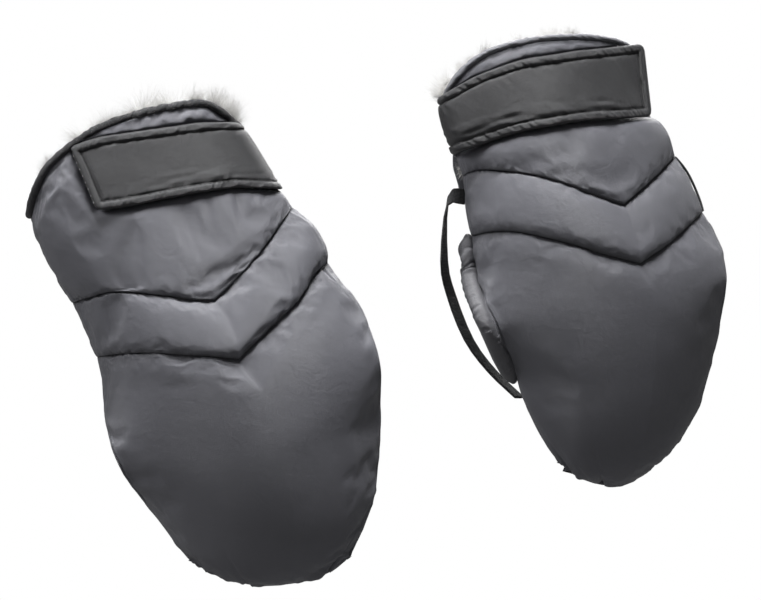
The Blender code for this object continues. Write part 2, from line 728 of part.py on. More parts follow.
def make_elastic(body, form):
    """The gathered elastic hem along the inner side, where the tube comes out."""
    mitt = form["mitt"]
    outer, inner = [], []
    spread_out = elastic_width * mitt["elastic_out_share"]
    spread_back = elastic_width * (1 - mitt["elastic_out_share"] ** 2) ** 0.5
    level = crossing_height(form, mitt["inner"] == "high")
    for height in np.linspace(level + elastic_top, level - elastic_bottom, 13):
        flat, way, edge = side_point(form, mitt["inner"] == "high", height)
        rows = ([], [])
        for share in (0.0, 0.5, 1.0):
            for side, row in enumerate(rows):
                near = flat + way * (touch_gap + spread_out * share + elastic_wall * (1 - side) * 0.7)
                back = edge + seam_gap + spread_back * share + elastic_wall * (side - 0.5)
                row.append((near[0], back, near[1]))
        outer.append(rows[0])
        inner.append(rows[1])
    body.slab("side_elastic", np.array(outer), np.array(inner), nylon_grey)


def ribbon(path, width_ways, width, wall):
    """Two faces of a flat band along a path, with the way of its width at each point."""
    half = width_ways / np.linalg.norm(width_ways, axis=1, keepdims=True) * width / 2
    normals = np.cross(np.gradient(path, axis=0), half)
    normals *= wall / 2 / np.linalg.norm(normals, axis=1, keepdims=True)
    outer = np.stack([path - half + normals, path + half + normals], axis=1)
    inner = np.stack([path - half - normals, path + half - normals], axis=1)
    return outer, inner


def crossing_height(form, high):
    """Height at which the tube's axis crosses a side of the mitt."""
    line = form["high_side"] if high else form["low_side"]
    return float(line[np.argmin(np.abs(tube_distance(form["mitt"], line))), 1])


def hanger_beside(form):
    """Webbing from the inner seam, out beside the mitt and behind the tube, to the pouch's side."""
    high = form["mitt"]["inner"] == "high"
    sign = 1 if high else -1
    level = crossing_height(form, high)
    clear = touch_gap + webbing_wall / 2
    out = elastic_width + webbing_width
    behind = tube_radius + tube_room + webbing_wall

    def beside(height, away, back):
        flat, way, edge = side_point(form, high, height)
        return np.array([flat[0] + sign * away, back, height])

    path = smooth_line([
        beside(level + hanger_rise, clear, 0.0),
        beside(level + hanger_rise - webbing_width / 4, out * 0.6, webbing_width / 4),
        beside(level + hanger_rise / 2, out, behind / 2),
        beside(level + tube_radius, out, behind),
        beside(level - tube_radius / 2, out, behind + webbing_wall),
        beside(level - opening_bottom, out * 0.7, behind * 0.9),
        beside(level - elastic_bottom - webbing_width, clear, behind / 2),
    ], 3)
    twist = np.sin(np.pi * np.linspace(0, 1, len(path)))
    width_ways = np.column_stack([-sign * webbing_twist_share * twist, np.ones(len(path)), np.zeros(len(path))])
    return ribbon(path, width_ways, webbing_width, webbing_wall)


def hanger_behind(form, tree):
    """Webbing that lies on the mitt's back beside the flap, and runs straight down behind the tube."""
    heights = np.linspace(opening_top + hanger_lap, -opening_bottom - hanger_lap, 9)
    start, width = flap_side_share - 2 * layer_gap / mitt_width, webbing_width / mitt_width
    shares = [start - width, start]
    if form["mitt"]["inner"] == "high":
        shares = [1 - start, 1 - start + width]
    near = flap_grid(form, tree, heights, shares, np.full(9, touch_gap))
    far = flap_grid(form, tree, heights, shares, np.full(9, touch_gap + webbing_wall))
    return far, near


def make_webbing(still, form, tree):
    """The short webbing loop on the mitt's outer side, a little proud of it."""
    mitt = form["mitt"]
    high = mitt["inner"] == "low"
    sign = 1 if high else -1
    ends = mitt["high_x_side_shares" if high else "low_x_side_shares"][1]
    heights = np.array([ends[0][1], ends[-1][1]]) * mitt_length
    back = webbing_width * mitt["loop_back_share"]
    behind = back > webbing_width / 2
    seat = touch_gap + loop_wall / 2 if behind else 2 * touch_gap + loop_wall
    path = []
    for share in np.linspace(0, 1, 9):
        flat, way, edge = side_point(form, high, heights[0] + (heights[1] - heights[0]) * share)
        near = flat[0]
        if behind:
            start = Vector((sign * 2 * mitt_width, edge + back - webbing_width / 2, flat[1]))
            near = tree.ray_cast(start, Vector((-sign, 0, 0)))[0].x
        bow = seat + loop_stand * math.sin(math.pi * share) ** 0.5
        path.append((near + way[0] * bow, edge + back, flat[1] + way[1] * bow))
    outer, inner = ribbon(np.array(path), np.tile([0.0, 1.0, 0.0], (9, 1)), webbing_width, loop_wall)
    still.slab("side_loop", outer, inner, webbing_black)


def strap_pivot(mitt, lines):
    """The middle of the strap's sewn end, in the mitt's own frame."""
    end = lines[:, -1].mean(axis=0)
    return end + np.array([0, strap_gap + strap_wall / 2, 0])


def flap_pivot(form, tree):
    """The middle of the flap's sewn edge."""
    shares = np.linspace(flap_side_share, 1 - flap_side_share, flap_columns + 1)
    grid = flap_grid(form, tree, [opening_top + flap_top_lap], shares, [touch_gap + flap_wall])
    highest = grid[0][np.argmax(grid[0][:, 1])]
    middle = grid[0][4]
    return np.array([middle[0], highest[1], middle[2]])


def make_mitt(collection, mitt):
    form = make_form(mitt)
    tree = envelope(form)
    lines = strap_lines(form, tree, strap_steps + 1)
    hanger_faces = hanger_behind(form, tree) if mitt["hanger"] == "behind" else hanger_beside(form)
    body = Body(collection, mitt, mitt["name"] + "_mitt", world(mitt, (0, 0, 0)))
    strap = Body(collection, mitt, mitt["name"] + "_strap", world(mitt, strap_pivot(mitt, lines)), body)
    flap = Body(collection, mitt, mitt["name"] + "_flap", world(mitt, flap_pivot(form, tree)), body)
    hanger_top = hanger_faces[0][0].mean(axis=0)
    hanger = Body(collection, mitt, mitt["name"] + "_hanger", world(mitt, hanger_top), body)
    make_front(body, form)
    make_back(body, form)
    make_cuff_binding(body, form)
    make_pouch_binding(body, form)
    make_flap(body, flap, form, tree)
    make_strap(body, strap, form, lines)
    make_elastic(body, form)
    make_webbing(body, form, tree)
    hanger.slab("hanger_webbing", *hanger_faces, webbing_black)
    turn = mitt["tube_turn"]
    ways = {
        "strap": world(mitt, lines[0, -1]) - world(mitt, lines[-1, -1]),
        "flap": world(mitt, (math.cos(turn), 0, math.sin(turn))) - world(mitt, (0, 0, 0)),
    }
    for part in (body, strap, flap, hanger):
        print(part.empty.name, [round(value, 5) for value in part.pivot])
    for name, way in ways.items():
        print(mitt["name"], name, "axis", [round(value, 4) for value in way.normalized()])


def clear_scene():
    for thing in list(bpy.data.objects):
        bpy.data.objects.remove(thing)


def main():
    clear_scene()
    collection = bpy.data.collections.new("hand_muffs")
    bpy.context.scene.collection.children.link(collection)
    for mitt in (left, right):
        make_mitt(collection, mitt)


main()
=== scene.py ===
import math
import time

import bpy
import numpy as np
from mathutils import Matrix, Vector


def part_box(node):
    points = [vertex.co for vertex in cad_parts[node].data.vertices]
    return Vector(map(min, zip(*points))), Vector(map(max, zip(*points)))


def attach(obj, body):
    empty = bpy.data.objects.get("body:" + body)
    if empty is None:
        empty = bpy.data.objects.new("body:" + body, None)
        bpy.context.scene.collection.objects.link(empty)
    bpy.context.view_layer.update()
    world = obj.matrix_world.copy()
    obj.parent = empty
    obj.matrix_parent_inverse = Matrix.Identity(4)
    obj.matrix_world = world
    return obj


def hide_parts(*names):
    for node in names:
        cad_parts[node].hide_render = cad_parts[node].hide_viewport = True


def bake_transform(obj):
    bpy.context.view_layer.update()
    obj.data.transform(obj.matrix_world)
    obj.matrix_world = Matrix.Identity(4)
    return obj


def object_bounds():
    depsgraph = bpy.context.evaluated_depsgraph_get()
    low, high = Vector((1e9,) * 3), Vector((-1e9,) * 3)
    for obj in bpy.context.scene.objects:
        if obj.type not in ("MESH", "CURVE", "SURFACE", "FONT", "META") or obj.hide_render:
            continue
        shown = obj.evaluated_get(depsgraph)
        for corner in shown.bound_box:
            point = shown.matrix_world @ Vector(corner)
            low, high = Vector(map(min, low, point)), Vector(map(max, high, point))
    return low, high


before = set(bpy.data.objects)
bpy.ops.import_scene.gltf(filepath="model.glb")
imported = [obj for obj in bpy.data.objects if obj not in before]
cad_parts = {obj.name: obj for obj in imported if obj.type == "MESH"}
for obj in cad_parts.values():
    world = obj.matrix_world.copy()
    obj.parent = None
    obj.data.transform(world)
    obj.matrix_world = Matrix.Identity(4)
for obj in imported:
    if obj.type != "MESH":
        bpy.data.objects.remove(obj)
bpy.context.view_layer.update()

# A pair of padded hand muffs: quilted nylon mitts lined with pile, closed at the wrist by a wide strap.
# Each mitt is worked out in its own frame: x across, z up and y away from the front, with zero where the
# tube's axis crosses it. The outlines are shares of the mitt's width and length.

mm = 0.001
started = time.time()

pair = {
    "width": 176 * mm, "length": 314 * mm, "pitch": 224 * mm, "rise": 65 * mm, "setback": 22 * mm,
    "belly": 60 * mm, "mouth": 36 * mm, "back": 31 * mm, "slit": 6 * mm, "seamGap": -0.4 * mm,
    # the layers, and how far below the rim they are pressed together
    "shell": 2.25 * mm, "wadding": 6.4 * mm, "backWadding": 3.6 * mm, "pile": 5 * mm, "rimPress": 22 * mm,
    # room for the rim's binding, and the share of the rim over which it turns down the sides
    "rimRoom": 4.6 * mm, "rimCorner": 0.2,
    # share across of both quilting lines' apex, and the belly's dip at the second line with its reach above and below
    "apexShare": 0.6294, "lineDip": 2.2 * mm, "dipAbove": 10 * mm, "dipBelow": 20 * mm,
    # powers of the sine arches across front and back, and of the way from the side seams into them
    "frontArch": 0.55, "frontSide": 2.2, "backArch": 0.5, "backSide": 1.5, "deepestAt": 2.4,
}
tube = {"radius": 19 * mm, "room": 1.5 * mm, "above": 26 * mm, "below": 30 * mm, "scoop": 38 * mm}

# first random seed of each kind of piece, for the left and the right mitt
seeds = {
    "front": (10, 40), "back": (70, 90), "lining": (120, 150), "binding": (170, 180), "strap": (200, 220),
    "elastic": (240, 250), "flap": (260, 270), "rimPile": (300, 320), "tufts": (340, 340),
}

# Each mitt's outlines and strap edges are shares of width and length. What else differs from mitt to mitt:
# peelWay, the way from the strap's sewn edge along which it begins to follow its joint
# lively, how far the cloth is folded and settled
# inner and innerSign, the side of the mitt that faces the other one
# centreShares and setbackShare, its place as shares of the pair's pitch, rise and setback
# elasticOut, how far the hem stands out instead of back, and elasticMore, its length above the usual one
# strapTail and hairShare, shares of the usual length
# fall, how far the belly falls back at the toe
# rimFold, the folds under the rim, and cinch, the second line's deeper dent at its inner end
# pleats, shares across the toe
# loopBack, how far the side loop stands behind the seam
# hanger, where its webbing hangs
left = {
    "name": "left",
    "peelWay": (4.9 * mm, -12.1 * mm, 0.0),
    "lively": 0.9,
    "inner": "high",
    "innerSign": 1,
    "centreShares": (-0.5, -0.5),
    "setbackShare": 0.0,
    "tubeTurn": math.radians(22),
    "yaw": math.radians(4),
    "lean": math.radians(6),
    "rim": [
        (-0.807, 0.402), (-0.789, 0.448), (-0.742, 0.497), (-0.658, 0.539), (-0.549, 0.578),
        (-0.404, 0.606), (-0.258, 0.624), (-0.167, 0.628), (-0.105, 0.610), (-0.040, 0.572),
    ],
    "firstLine": [
        (-0.647, 0.216), (-0.585, 0.226), (-0.495, 0.238), (-0.367, 0.234), (-0.204, 0.224),
        (-0.127, 0.222), (-0.040, 0.269), (0.051, 0.330), (0.145, 0.410),
    ],
    "firstApex": 5,
    "secondLine": [
        (-0.560, 0.106), (-0.404, 0.114), (-0.204, 0.110), (-0.036, 0.104),
        (0.069, 0.161), (0.171, 0.218), (0.233, 0.273), (0.280, 0.300),
    ],
    "secondApex": 3,
    "toe": [
        (-0.215, -0.312), (-0.167, -0.328), (-0.076, -0.349), (0.022, -0.361),
        (0.124, -0.358), (0.244, -0.344), (0.313, -0.325), (0.360, -0.304),
    ],
    "lowSide": [
        [(-0.807, 0.402), (-0.782, 0.349), (-0.738, 0.300), (-0.687, 0.249), (-0.647, 0.216)],
        [(-0.647, 0.216), (-0.603, 0.159), (-0.560, 0.106)],
        [
            (-0.560, 0.106), (-0.542, 0.059), (-0.534, 0.000), (-0.514, -0.060), (-0.469, -0.124),
            (-0.400, -0.182), (-0.331, -0.232), (-0.273, -0.275), (-0.215, -0.312),
        ],
    ],
    "highSide": [
        [(-0.040, 0.577), (0.025, 0.512), (0.088, 0.456), (0.145, 0.410)],
        [(0.145, 0.410), (0.222, 0.373), (0.265, 0.334), (0.280, 0.300)],
        [
            (0.280, 0.300), (0.327, 0.259), (0.385, 0.222), (0.441, 0.155), (0.474, 0.084),
            (0.474, 0.002), (0.470, -0.084), (0.452, -0.175), (0.415, -0.240), (0.360, -0.304),
        ],
    ],
    "strapTop": [(-0.658, 0.532), (-0.549, 0.552), (-0.331, 0.570), (-0.185, 0.583), (-0.029, 0.585)],
    "strapBottom": [(-0.556, 0.402), (-0.440, 0.410), (-0.258, 0.432), (-0.076, 0.450), (0.095, 0.448)],
    "elasticOut": 0.25,
    "elasticMore": 0.0,
    "strapTail": 1.0,
    "hairShare": 1.0,
    "fall": 20 * mm,
    "bindingShare": 1.25,
    "bindingFinish": "binding",
    "rimFold": 1.1 * mm,
    "cinch": 3.4,
    "pleats": (0.10, 0.38, 0.84),
    "loopBack": 1.0,
    "hanger": "behind",
}

right = {
    "name": "right",
    "peelWay": (3.2 * mm, -12.6 * mm, 0.0),
    "lively": 0.45,
    "inner": "low",
    "innerSign": -1,
    "centreShares": (0.5, 0.5),
    "setbackShare": 1.0,
    "tubeTurn": math.radians(9.6),
    "yaw": math.radians(24),
    "lean": math.radians(9),
    "rim": [
        (-0.575, 0.406), (-0.571, 0.436), (-0.542, 0.467), (-0.498, 0.493), (-0.433, 0.520), (-0.349, 0.538),
        (-0.240, 0.552), (-0.131, 0.558), (-0.022, 0.558), (0.069, 0.550), (0.128, 0.532), (0.156, 0.493),
    ],
    "firstLine": [
        (-0.502, 0.267), (-0.447, 0.279), (-0.367, 0.277), (-0.258, 0.269), (-0.149, 0.253),
        (-0.022, 0.228), (0.084, 0.210), (0.171, 0.251), (0.276, 0.310),
    ],
    "firstApex": 6,
    "secondLine": [
        (-0.473, 0.145), (-0.404, 0.153), (-0.313, 0.153), (-0.204, 0.141), (-0.095, 0.126),
        (0.015, 0.108), (0.145, 0.090), (0.251, 0.130), (0.382, 0.196),
    ],
    "secondApex": 6,
    "toe": [
        (-0.149, -0.320), (-0.095, -0.342), (-0.040, -0.357), (0.025, -0.365),
        (0.087, -0.361), (0.142, -0.349), (0.185, -0.332), (0.215, -0.314),
    ],
    "lowSide": [
        [(-0.575, 0.406), (-0.553, 0.357), (-0.524, 0.308), (-0.502, 0.267)],
        [(-0.502, 0.267), (-0.494, 0.228), (-0.485, 0.181), (-0.473, 0.145)],
        [
            (-0.473, 0.145), (-0.462, 0.092), (-0.440, 0.031), (-0.407, -0.022), (-0.367, -0.073),
            (-0.316, -0.135), (-0.287, -0.185), (-0.244, -0.241), (-0.200, -0.283), (-0.149, -0.320),
        ],
    ],
    "highSide": [
        [(0.156, 0.493), (0.172, 0.432), (0.190, 0.394), (0.225, 0.372), (0.251, 0.349), (0.276, 0.310)],
        [(0.276, 0.310), (0.318, 0.275), (0.353, 0.234), (0.382, 0.196)],
        [
            (0.382, 0.196), (0.418, 0.161), (0.455, 0.116), (0.469, 0.065), (0.455, -0.010), (0.433, -0.067),
            (0.407, -0.132), (0.371, -0.198), (0.324, -0.251), (0.273, -0.289), (0.215, -0.314),
        ],
    ],
    "strapTop": [(-0.589, 0.422), (-0.476, 0.465), (-0.295, 0.503), (-0.076, 0.524), (0.164, 0.542)],
    "strapBottom": [(-0.553, 0.304), (-0.440, 0.328), (-0.295, 0.355), (-0.076, 0.379), (0.193, 0.391)],
    "elasticOut": 0.8,
    "elasticMore": 14 * mm,
    "strapTail": 0.3,
    "hairShare": 0.5,
    "fall": 22 * mm,
    "bindingShare": 0.95,
    # painted light: the cuff binding's finish is a paler copy of the dark tape
    "bindingFinish": "paleBinding",
    "rimFold": 0.3 * mm,
    "cinch": 1.6,
    "pleats": (0.14, 0.42, 0.88),
    "loopBack": 0.15,
    "hanger": "beside",
}


# Lines, patches and noise

def smoothLine(points, steps=14):
    # Catmull-Rom: each span is a cubic of the four points round it
    p = np.asarray(points, float)
    ends = np.vstack([2 * p[0] - p[1], p, 2 * p[-1] - p[-2]])
    a, b, c, d = ends[:-3, None], ends[1:-2, None], ends[2:-1, None], ends[3:, None]
    t = np.linspace(0, 1, steps, endpoint=False)[None, :, None]
    curve = 0.5 * (2 * b + (c - a) * t + (2 * a - 5 * b + 4 * c - d) * t**2 + (3 * b - a - 3 * c + d) * t**3)
    return np.vstack([curve.reshape(-1, p.shape[1]), p[-1:]])


def along(line, shares):
    # the point at each share of the line's length
    line = np.asarray(line, float)
    run = arcLengths(line, 0)
    return np.stack([np.interp(shares, run / run[-1], line[:, k]) for k in range(line.shape[1])], axis=-1)


def bentLine(points, apex, shares):
    # two smooth legs that meet in a sharp apex at a fixed share across
    first = along(smoothLine(points[:apex + 1]), np.clip(shares / pair["apexShare"], 0, 1))
    second = along(smoothLine(points[apex:]), np.clip((shares - pair["apexShare"]) / (1 - pair["apexShare"]), 0, 1))
    return np.where(np.asarray(shares < pair["apexShare"])[..., None], first, second)


def coons(borders, across, down):
    # Coons patch: the four border lines blended, less the corners that are counted twice
    top, bottom, low, high = borders
    u, v = across[..., None], down[..., None]
    zero, one = np.zeros(1), np.ones(1)
    flat = (1 - v) * top(across) + v * bottom(across) + (1 - u) * low(down) + u * high(down)
    corners = (1 - v) * ((1 - u) * top(zero)[0] + u * top(one)[0])
    return flat - corners - v * ((1 - u) * bottom(zero)[0] + u * bottom(one)[0])


def noise(x, y, seed):
    # smooth value noise between -1 and 1 on a wrapped lattice of 256 random values
    values = np.random.default_rng(seed).uniform(-1, 1, (256, 256))
    x, y = np.broadcast_arrays(np.asarray(x, float), np.asarray(y, float))
    i, j = np.floor(x).astype(int), np.floor(y).astype(int)
    fx, fy = x - i, y - j
    fx, fy = fx**3 * (fx * (6 * fx - 15) + 10), fy**3 * (fy * (6 * fy - 15) + 10)
    i, j, i1, j1 = i % 256, j % 256, (i + 1) % 256, (j + 1) % 256
    low = values[i, j] * (1 - fx) + values[i1, j] * fx
    return low * (1 - fy) + (values[i, j1] * (1 - fx) + values[i1, j1] * fx) * fy


def layered(x, y, seed, octaves=3):
    # noise summed over octaves, each half as large and twice as fine
    return sum(noise(x * 2**k, y * 2**k, seed + k) * 0.5**k for k in range(octaves)) / (2 - 0.5**(octaves - 1))


def unit(v):
    # each vector at length 1
    return v / np.maximum(np.linalg.norm(v, axis=-1, keepdims=True), 1e-12)


def gridNormals(grid):
    # the cross product of the two ways along the grid, outwards for rows that go down and columns that go right
    return unit(np.cross(np.gradient(grid, axis=0), np.gradient(grid, axis=1)))


def ease(t):
    # 3 t^2 - 2 t^3 between 0 and 1
    t = np.clip(t, 0, 1)
    return t * t * (3 - 2 * t)


def arcLengths(grid, axis):
    # running length along one way of a grid or a line
    steps = np.linalg.norm(np.diff(grid, axis=axis), axis=-1)
    return np.insert(np.cumsum(steps, axis=axis), 0, 0, axis=axis)


# Meshes

def meshPiece(name, points, faces, uv=None, marks=None):
    # one object from whole arrays: points (n, 3), faces (m, 4) or (m, 3), uv for each point, marks as point attributes
    mesh = bpy.data.meshes.new(name)
    points, faces = points.reshape(-1, 3), np.ascontiguousarray(faces)
    sides = faces.shape[1]
    mesh.vertices.add(len(points))
    mesh.vertices.foreach_set("co", points.astype(np.float32).ravel())
    mesh.loops.add(faces.size)
    mesh.loops.foreach_set("vertex_index", faces.astype(np.int32).ravel())
    mesh.polygons.add(len(faces))
    mesh.polygons.foreach_set("loop_start", np.arange(0, faces.size, sides, dtype=np.int32))
    if uv is not None:
        layer = mesh.uv_layers.new(name="cloth")
        layer.data.foreach_set("uv", uv.reshape(-1, 2)[faces.ravel()].astype(np.float32).ravel())
    for key, values in (marks or {}).items():
        mesh.attributes.new(key, "FLOAT", "POINT").data.foreach_set("value", values.astype(np.float32).ravel())
    mesh.update(calc_edges=True)
    mesh.validate()
    mesh.shade_smooth()
    piece = bpy.data.objects.new(name, mesh)
    bpy.context.scene.collection.objects.link(piece)
    return piece


def gridFaces(rows, cols, wrap=False):
    # quads between neighbouring rows and columns, with the last column joined to the first where it wraps
    index = np.arange(rows * cols).reshape(rows, cols)
    if wrap:
        index = np.concatenate([index, index[:, :1]], axis=1)
    quads = np.stack([index[:-1, :-1], index[1:, :-1], index[1:, 1:], index[:-1, 1:]], axis=-1)
    return quads.reshape(-1, 4)


def gridPiece(name, grid, uv=None, marks=None, flip=False):
    # one sheet from a grid, its uv the running lengths unless it is given
    faces = gridFaces(*grid.shape[:2])
    if uv is None:
        uv = np.stack([arcLengths(grid, 1), arcLengths(grid, 0)], axis=-1)
    return meshPiece(name, grid, faces[:, ::-1] if flip else faces, uv, marks)


def ringPiece(name, grid, uv):
    # one tube from rings of points
    return meshPiece(name, grid, gridFaces(*grid.shape[:2], wrap=True), uv)


def slabPiece(name, outer, inner, uv=None, marks=None, flip=False):
    # a closed slab between two grids of the same shape, the outer one on the outside
    rows, cols = outer.shape[:2]
    index = np.arange(rows * cols).reshape(rows, cols)
    edge = np.concatenate([index[0, :-1], index[:-1, -1], index[-1, :0:-1], index[:0:-1, 0]])
    after, deep = np.roll(edge, -1), rows * cols
    walls = np.stack([edge, after, after + deep, edge + deep], axis=-1)
    faces = np.vstack([gridFaces(rows, cols), gridFaces(rows, cols)[:, ::-1] + deep, walls])
    if uv is None:
        uv = np.stack([arcLengths(outer, 1), arcLengths(outer, 0)], axis=-1)
    marks = {key: np.stack([value, value]) for key, value in (marks or {}).items()}
    piece = meshPiece(name, np.stack([outer, inner]), faces, np.stack([uv, uv]), marks)
    if flip:
        piece.data.flip_normals()
    return piece


def strandPiece(name, line, ring):
    # many short strands as one mesh: for each strand and step a place on its line and a ring of points round it
    points = line[:, :, None] + ring
    index = np.arange(points.size // 3).reshape(points.shape[:3])
    turned = np.roll(index, -1, axis=2)
    faces = np.stack([index[:, :-1], turned[:, :-1], turned[:, 1:], index[:, 1:]], axis=-1).reshape(-1, 4)
    return meshPiece(name, points, faces, np.zeros((points.size // 3, 2)))


def place(mitt, p):
    # from a mitt's own frame to the pair's frame: turned aside and leant back by sliding it in depth
    x, y, z = p[..., 0], p[..., 1], p[..., 2]
    across, up = mitt["centreShares"]
    depth = y + x * math.tan(mitt["yaw"]) + z * math.tan(mitt["lean"]) + mitt["setbackShare"] * pair["setback"]
    return np.stack([x + across * pair["pitch"], depth, z + up * pair["rise"]], axis=-1)


def placed(mitt, x, y, z):
    # the same for points given by their x, y and z
    return place(mitt, np.stack(np.broadcast_arrays(x, y, z), axis=-1))


def seedOf(mitt, kind):
    return seeds[kind][mitt["name"] == "right"]


# The mitt's form

def tubeDistance(mitt, flat):
    # height above the tube's axis, square to it
    return flat[..., 1] * math.cos(mitt["tubeTurn"]) - flat[..., 0] * math.sin(mitt["tubeTurn"])


def edgeDepth(mitt, flat):
    # the side seam's depth: scooped forward round the tube in an eased bump, and zero away from it
    distance = np.abs(tubeDistance(mitt, flat))
    return -(tube["radius"] + tube["room"]) * ease(1 - distance / tube["scoop"]) ** 0.8


def makeForm(mitt):
    # border lines and patches of one mitt, with room at the rim for its binding
    size = np.array([pair["width"], pair["length"]])
    rimTop = smoothLine(np.array(mitt["rim"]) * size)
    way = np.gradient(rimTop, axis=0)
    down = unit(np.column_stack([way[:, 1], -way[:, 0]]))
    share, corner = np.linspace(0, 1, len(rimTop))[:, None], pair["rimCorner"]
    for key, near in (("lowSide", ease(1 - share / corner)), ("highSide", ease((share - 1 + corner) / corner))):
        # at its ends the rim's room runs down the sides, so that the outline stays whole
        down = down * (1 - near) + unit((np.array(mitt[key][0][1]) - mitt[key][0][0]) * size) * near
    rim = rimTop + pair["rimRoom"] * unit(down)
    sides = {}
    for key, end in (("lowSide", rim[0]), ("highSide", rim[-1])):
        runs = [np.array(run) * size for run in mitt[key]]
        runs[0][0] = end
        sides[key] = [smoothLine(run) for run in runs]
    low, high = sides["lowSide"], sides["highSide"]
    toe = smoothLine(np.array(mitt["toe"]) * size)
    levels = (
        lambda s: along(rim, s),
        lambda s: bentLine(np.array(mitt["firstLine"]) * size, mitt["firstApex"], s),
        lambda s: bentLine(np.array(mitt["secondLine"]) * size, mitt["secondApex"], s),
        lambda s: along(toe, s),
    )
    patches = [(levels[k], levels[k + 1], lambda s, k=k: along(low[k], s), lambda s, k=k: along(high[k], s))
               for k in range(3)]
    form = {
        "mitt": mitt, "rimTop": rimTop, "rim": rim, "lowSide": np.vstack(low), "highSide": np.vstack(high),
        "patches": patches, "runs": [middleRun(borders) for borders in patches],
    }
    form["cuffBack"] = backPatch(form, rim, True, tube["above"])
    form["pouchBack"] = backPatch(form, toe, False, -tube["below"])
    return form


def middleRun(borders):
    # length of a patch down its middle
    half = np.array([0.5])
    return float(np.linalg.norm(coons(borders, half, np.ones(1)) - coons(borders, half, np.zeros(1))))


def backPatch(form, border, above, height):
    # a back panel between the rim or toe and a straight edge beside the tube
    cuts = []
    for line in (form["lowSide"], form["highSide"]):
        distance = tubeDistance(form["mitt"], line)
        cut = int(np.argmax(distance < height))
        share = (distance[cut - 1] - height) / (distance[cut - 1] - distance[cut])
        point = line[cut - 1] + share * (line[cut] - line[cut - 1])
        cuts.append(np.vstack([line[:cut], point]) if above else np.vstack([point, line[cut:]]))
    low, high = cuts
    edge = np.array([low[-1], high[-1]] if above else [low[0], high[0]])
    top, bottom = (border, edge) if above else (edge, border)
    return tuple(lambda s, line=line: along(line, s) for line in (top, bottom, low, high))


def drawnIn(borders, across, down, inset):
    # column shares drawn in from both sides by a real distance
    level = down[:, :1]
    low, high = coons(borders, np.zeros_like(level), level), coons(borders, np.ones_like(level), level)
    width = np.linalg.norm(high - low, axis=-1)
    return inset / width + across * (1 - 2 * inset / width)


def insetPatch(borders, across, down, run, inset, rounded):
    # flat points of a patch drawn in from its sides, and from the toe where it ends there. full is a sine arch
    # across, to a power that the caller gives, which closes towards the toe as the root of 1 - down^3
    v = np.broadcast_to(down * (1 - inset / run) if rounded else down, (len(down), len(across)))
    flat = coons(borders, drawnIn(borders, np.broadcast_to(across, v.shape), v, inset), v)
    closing = np.sqrt(np.clip(1 - down**3, 0, 1)) if rounded else 1.0
    return flat, lambda power: np.broadcast_to(np.sin(np.pi * across) ** power, v.shape) * closing


def frontSheet(form, across, rows, inset=0.0, depthInset=None):
    # one layer of the front: its depth is a sine arch across, deeper down the mitt, less a dip at the second quilting
    # line that fades as exp(-distance / reach). rows holds the patch number and the share down for each row
    mitt, blocks = form["mitt"], []
    for number, run in enumerate(form["runs"]):
        down = rows[rows[:, 0] == number, 1][:, None]
        flat, arch = insetPatch(form["patches"][number], across, down, run, inset, number == 2)
        full, stage = arch(pair["frontArch"]), number + down
        rise = np.sin(np.pi / 2 * np.minimum(stage / pair["deepestAt"], 1))
        depth = pair["mouth"] + (pair["belly"] - pair["mouth"]) * rise
        if number:
            # the belly rises slowly from the second line
            far = down / pair["dipBelow"] if number == 2 else (1 - down) / pair["dipAbove"]
            depth = depth - pair["lineDip"] * np.exp(-far * run)
        if number == 2:
            depth = depth - mitt["fall"] * down
        if depthInset:
            depth = depth - depthInset(1.0 if number else np.minimum(down * run / pair["rimPress"], 1))
        y = edgeDepth(mitt, flat) * (1 - full) ** pair["frontSide"] - depth * full
        blocks.append(np.stack([flat[..., 0], y, flat[..., 1]], axis=-1))
    return np.vstack(blocks)


def backSheet(form, part, across, down, inset=0.0, depthInset=None):
    # one layer of a back panel: a sine arch across, which closes towards the toe
    mitt, borders, cuff = form["mitt"], form[part], part == "cuffBack"
    run, down = middleRun(borders), down[:, None]
    flat, arch = insetPatch(borders, across, down, run, inset, not cuff)
    full = arch(pair["backArch"])
    openSide = ((across > 0.5) == (mitt["inner"] == "high")) & cuff
    gap = np.where(openSide, pair["slit"], pair["seamGap"])
    pressed = np.minimum(down * run / pair["rimPress"], 1) if cuff else 1.0
    deep = pair["back"] - (depthInset(pressed) if depthInset else 0.0)
    y = edgeDepth(mitt, flat) * (1 - full) ** pair["backSide"] + gap * (1 - full) + deep * full
    return np.stack([flat[..., 0], y, flat[..., 1]], axis=-1)


def layerDepth(wadding, face):
    # depth of the pile's outer or inner face below the outside, thinner where the rim presses it
    def at(pressed):
        outer = pair["shell"] + wadding * (0.3 + 0.7 * pressed)
        return outer + (pair["pile"] * (0.5 + 0.5 * pressed) if face == "inner" else 0)
    return at


def spacedShares(count, crowd=0.7, snap=None):
    # shares from 0 to 1, closer together at the ends, with one moved onto the snap share
    t = np.linspace(0, 1, count)
    t = t - crowd * np.sin(2 * np.pi * t) / (2 * np.pi)
    if snap is None:
        return t
    k = int(np.argmin(np.abs(t - snap)))
    return np.where(t <= t[k], t * snap / t[k], snap + (t - t[k]) * (1 - snap) / (1 - t[k]))


hem = {"radius": 1.4 * mm, "depth": 7 * mm, "steps": 6, "corner": 12, "pull": 5}


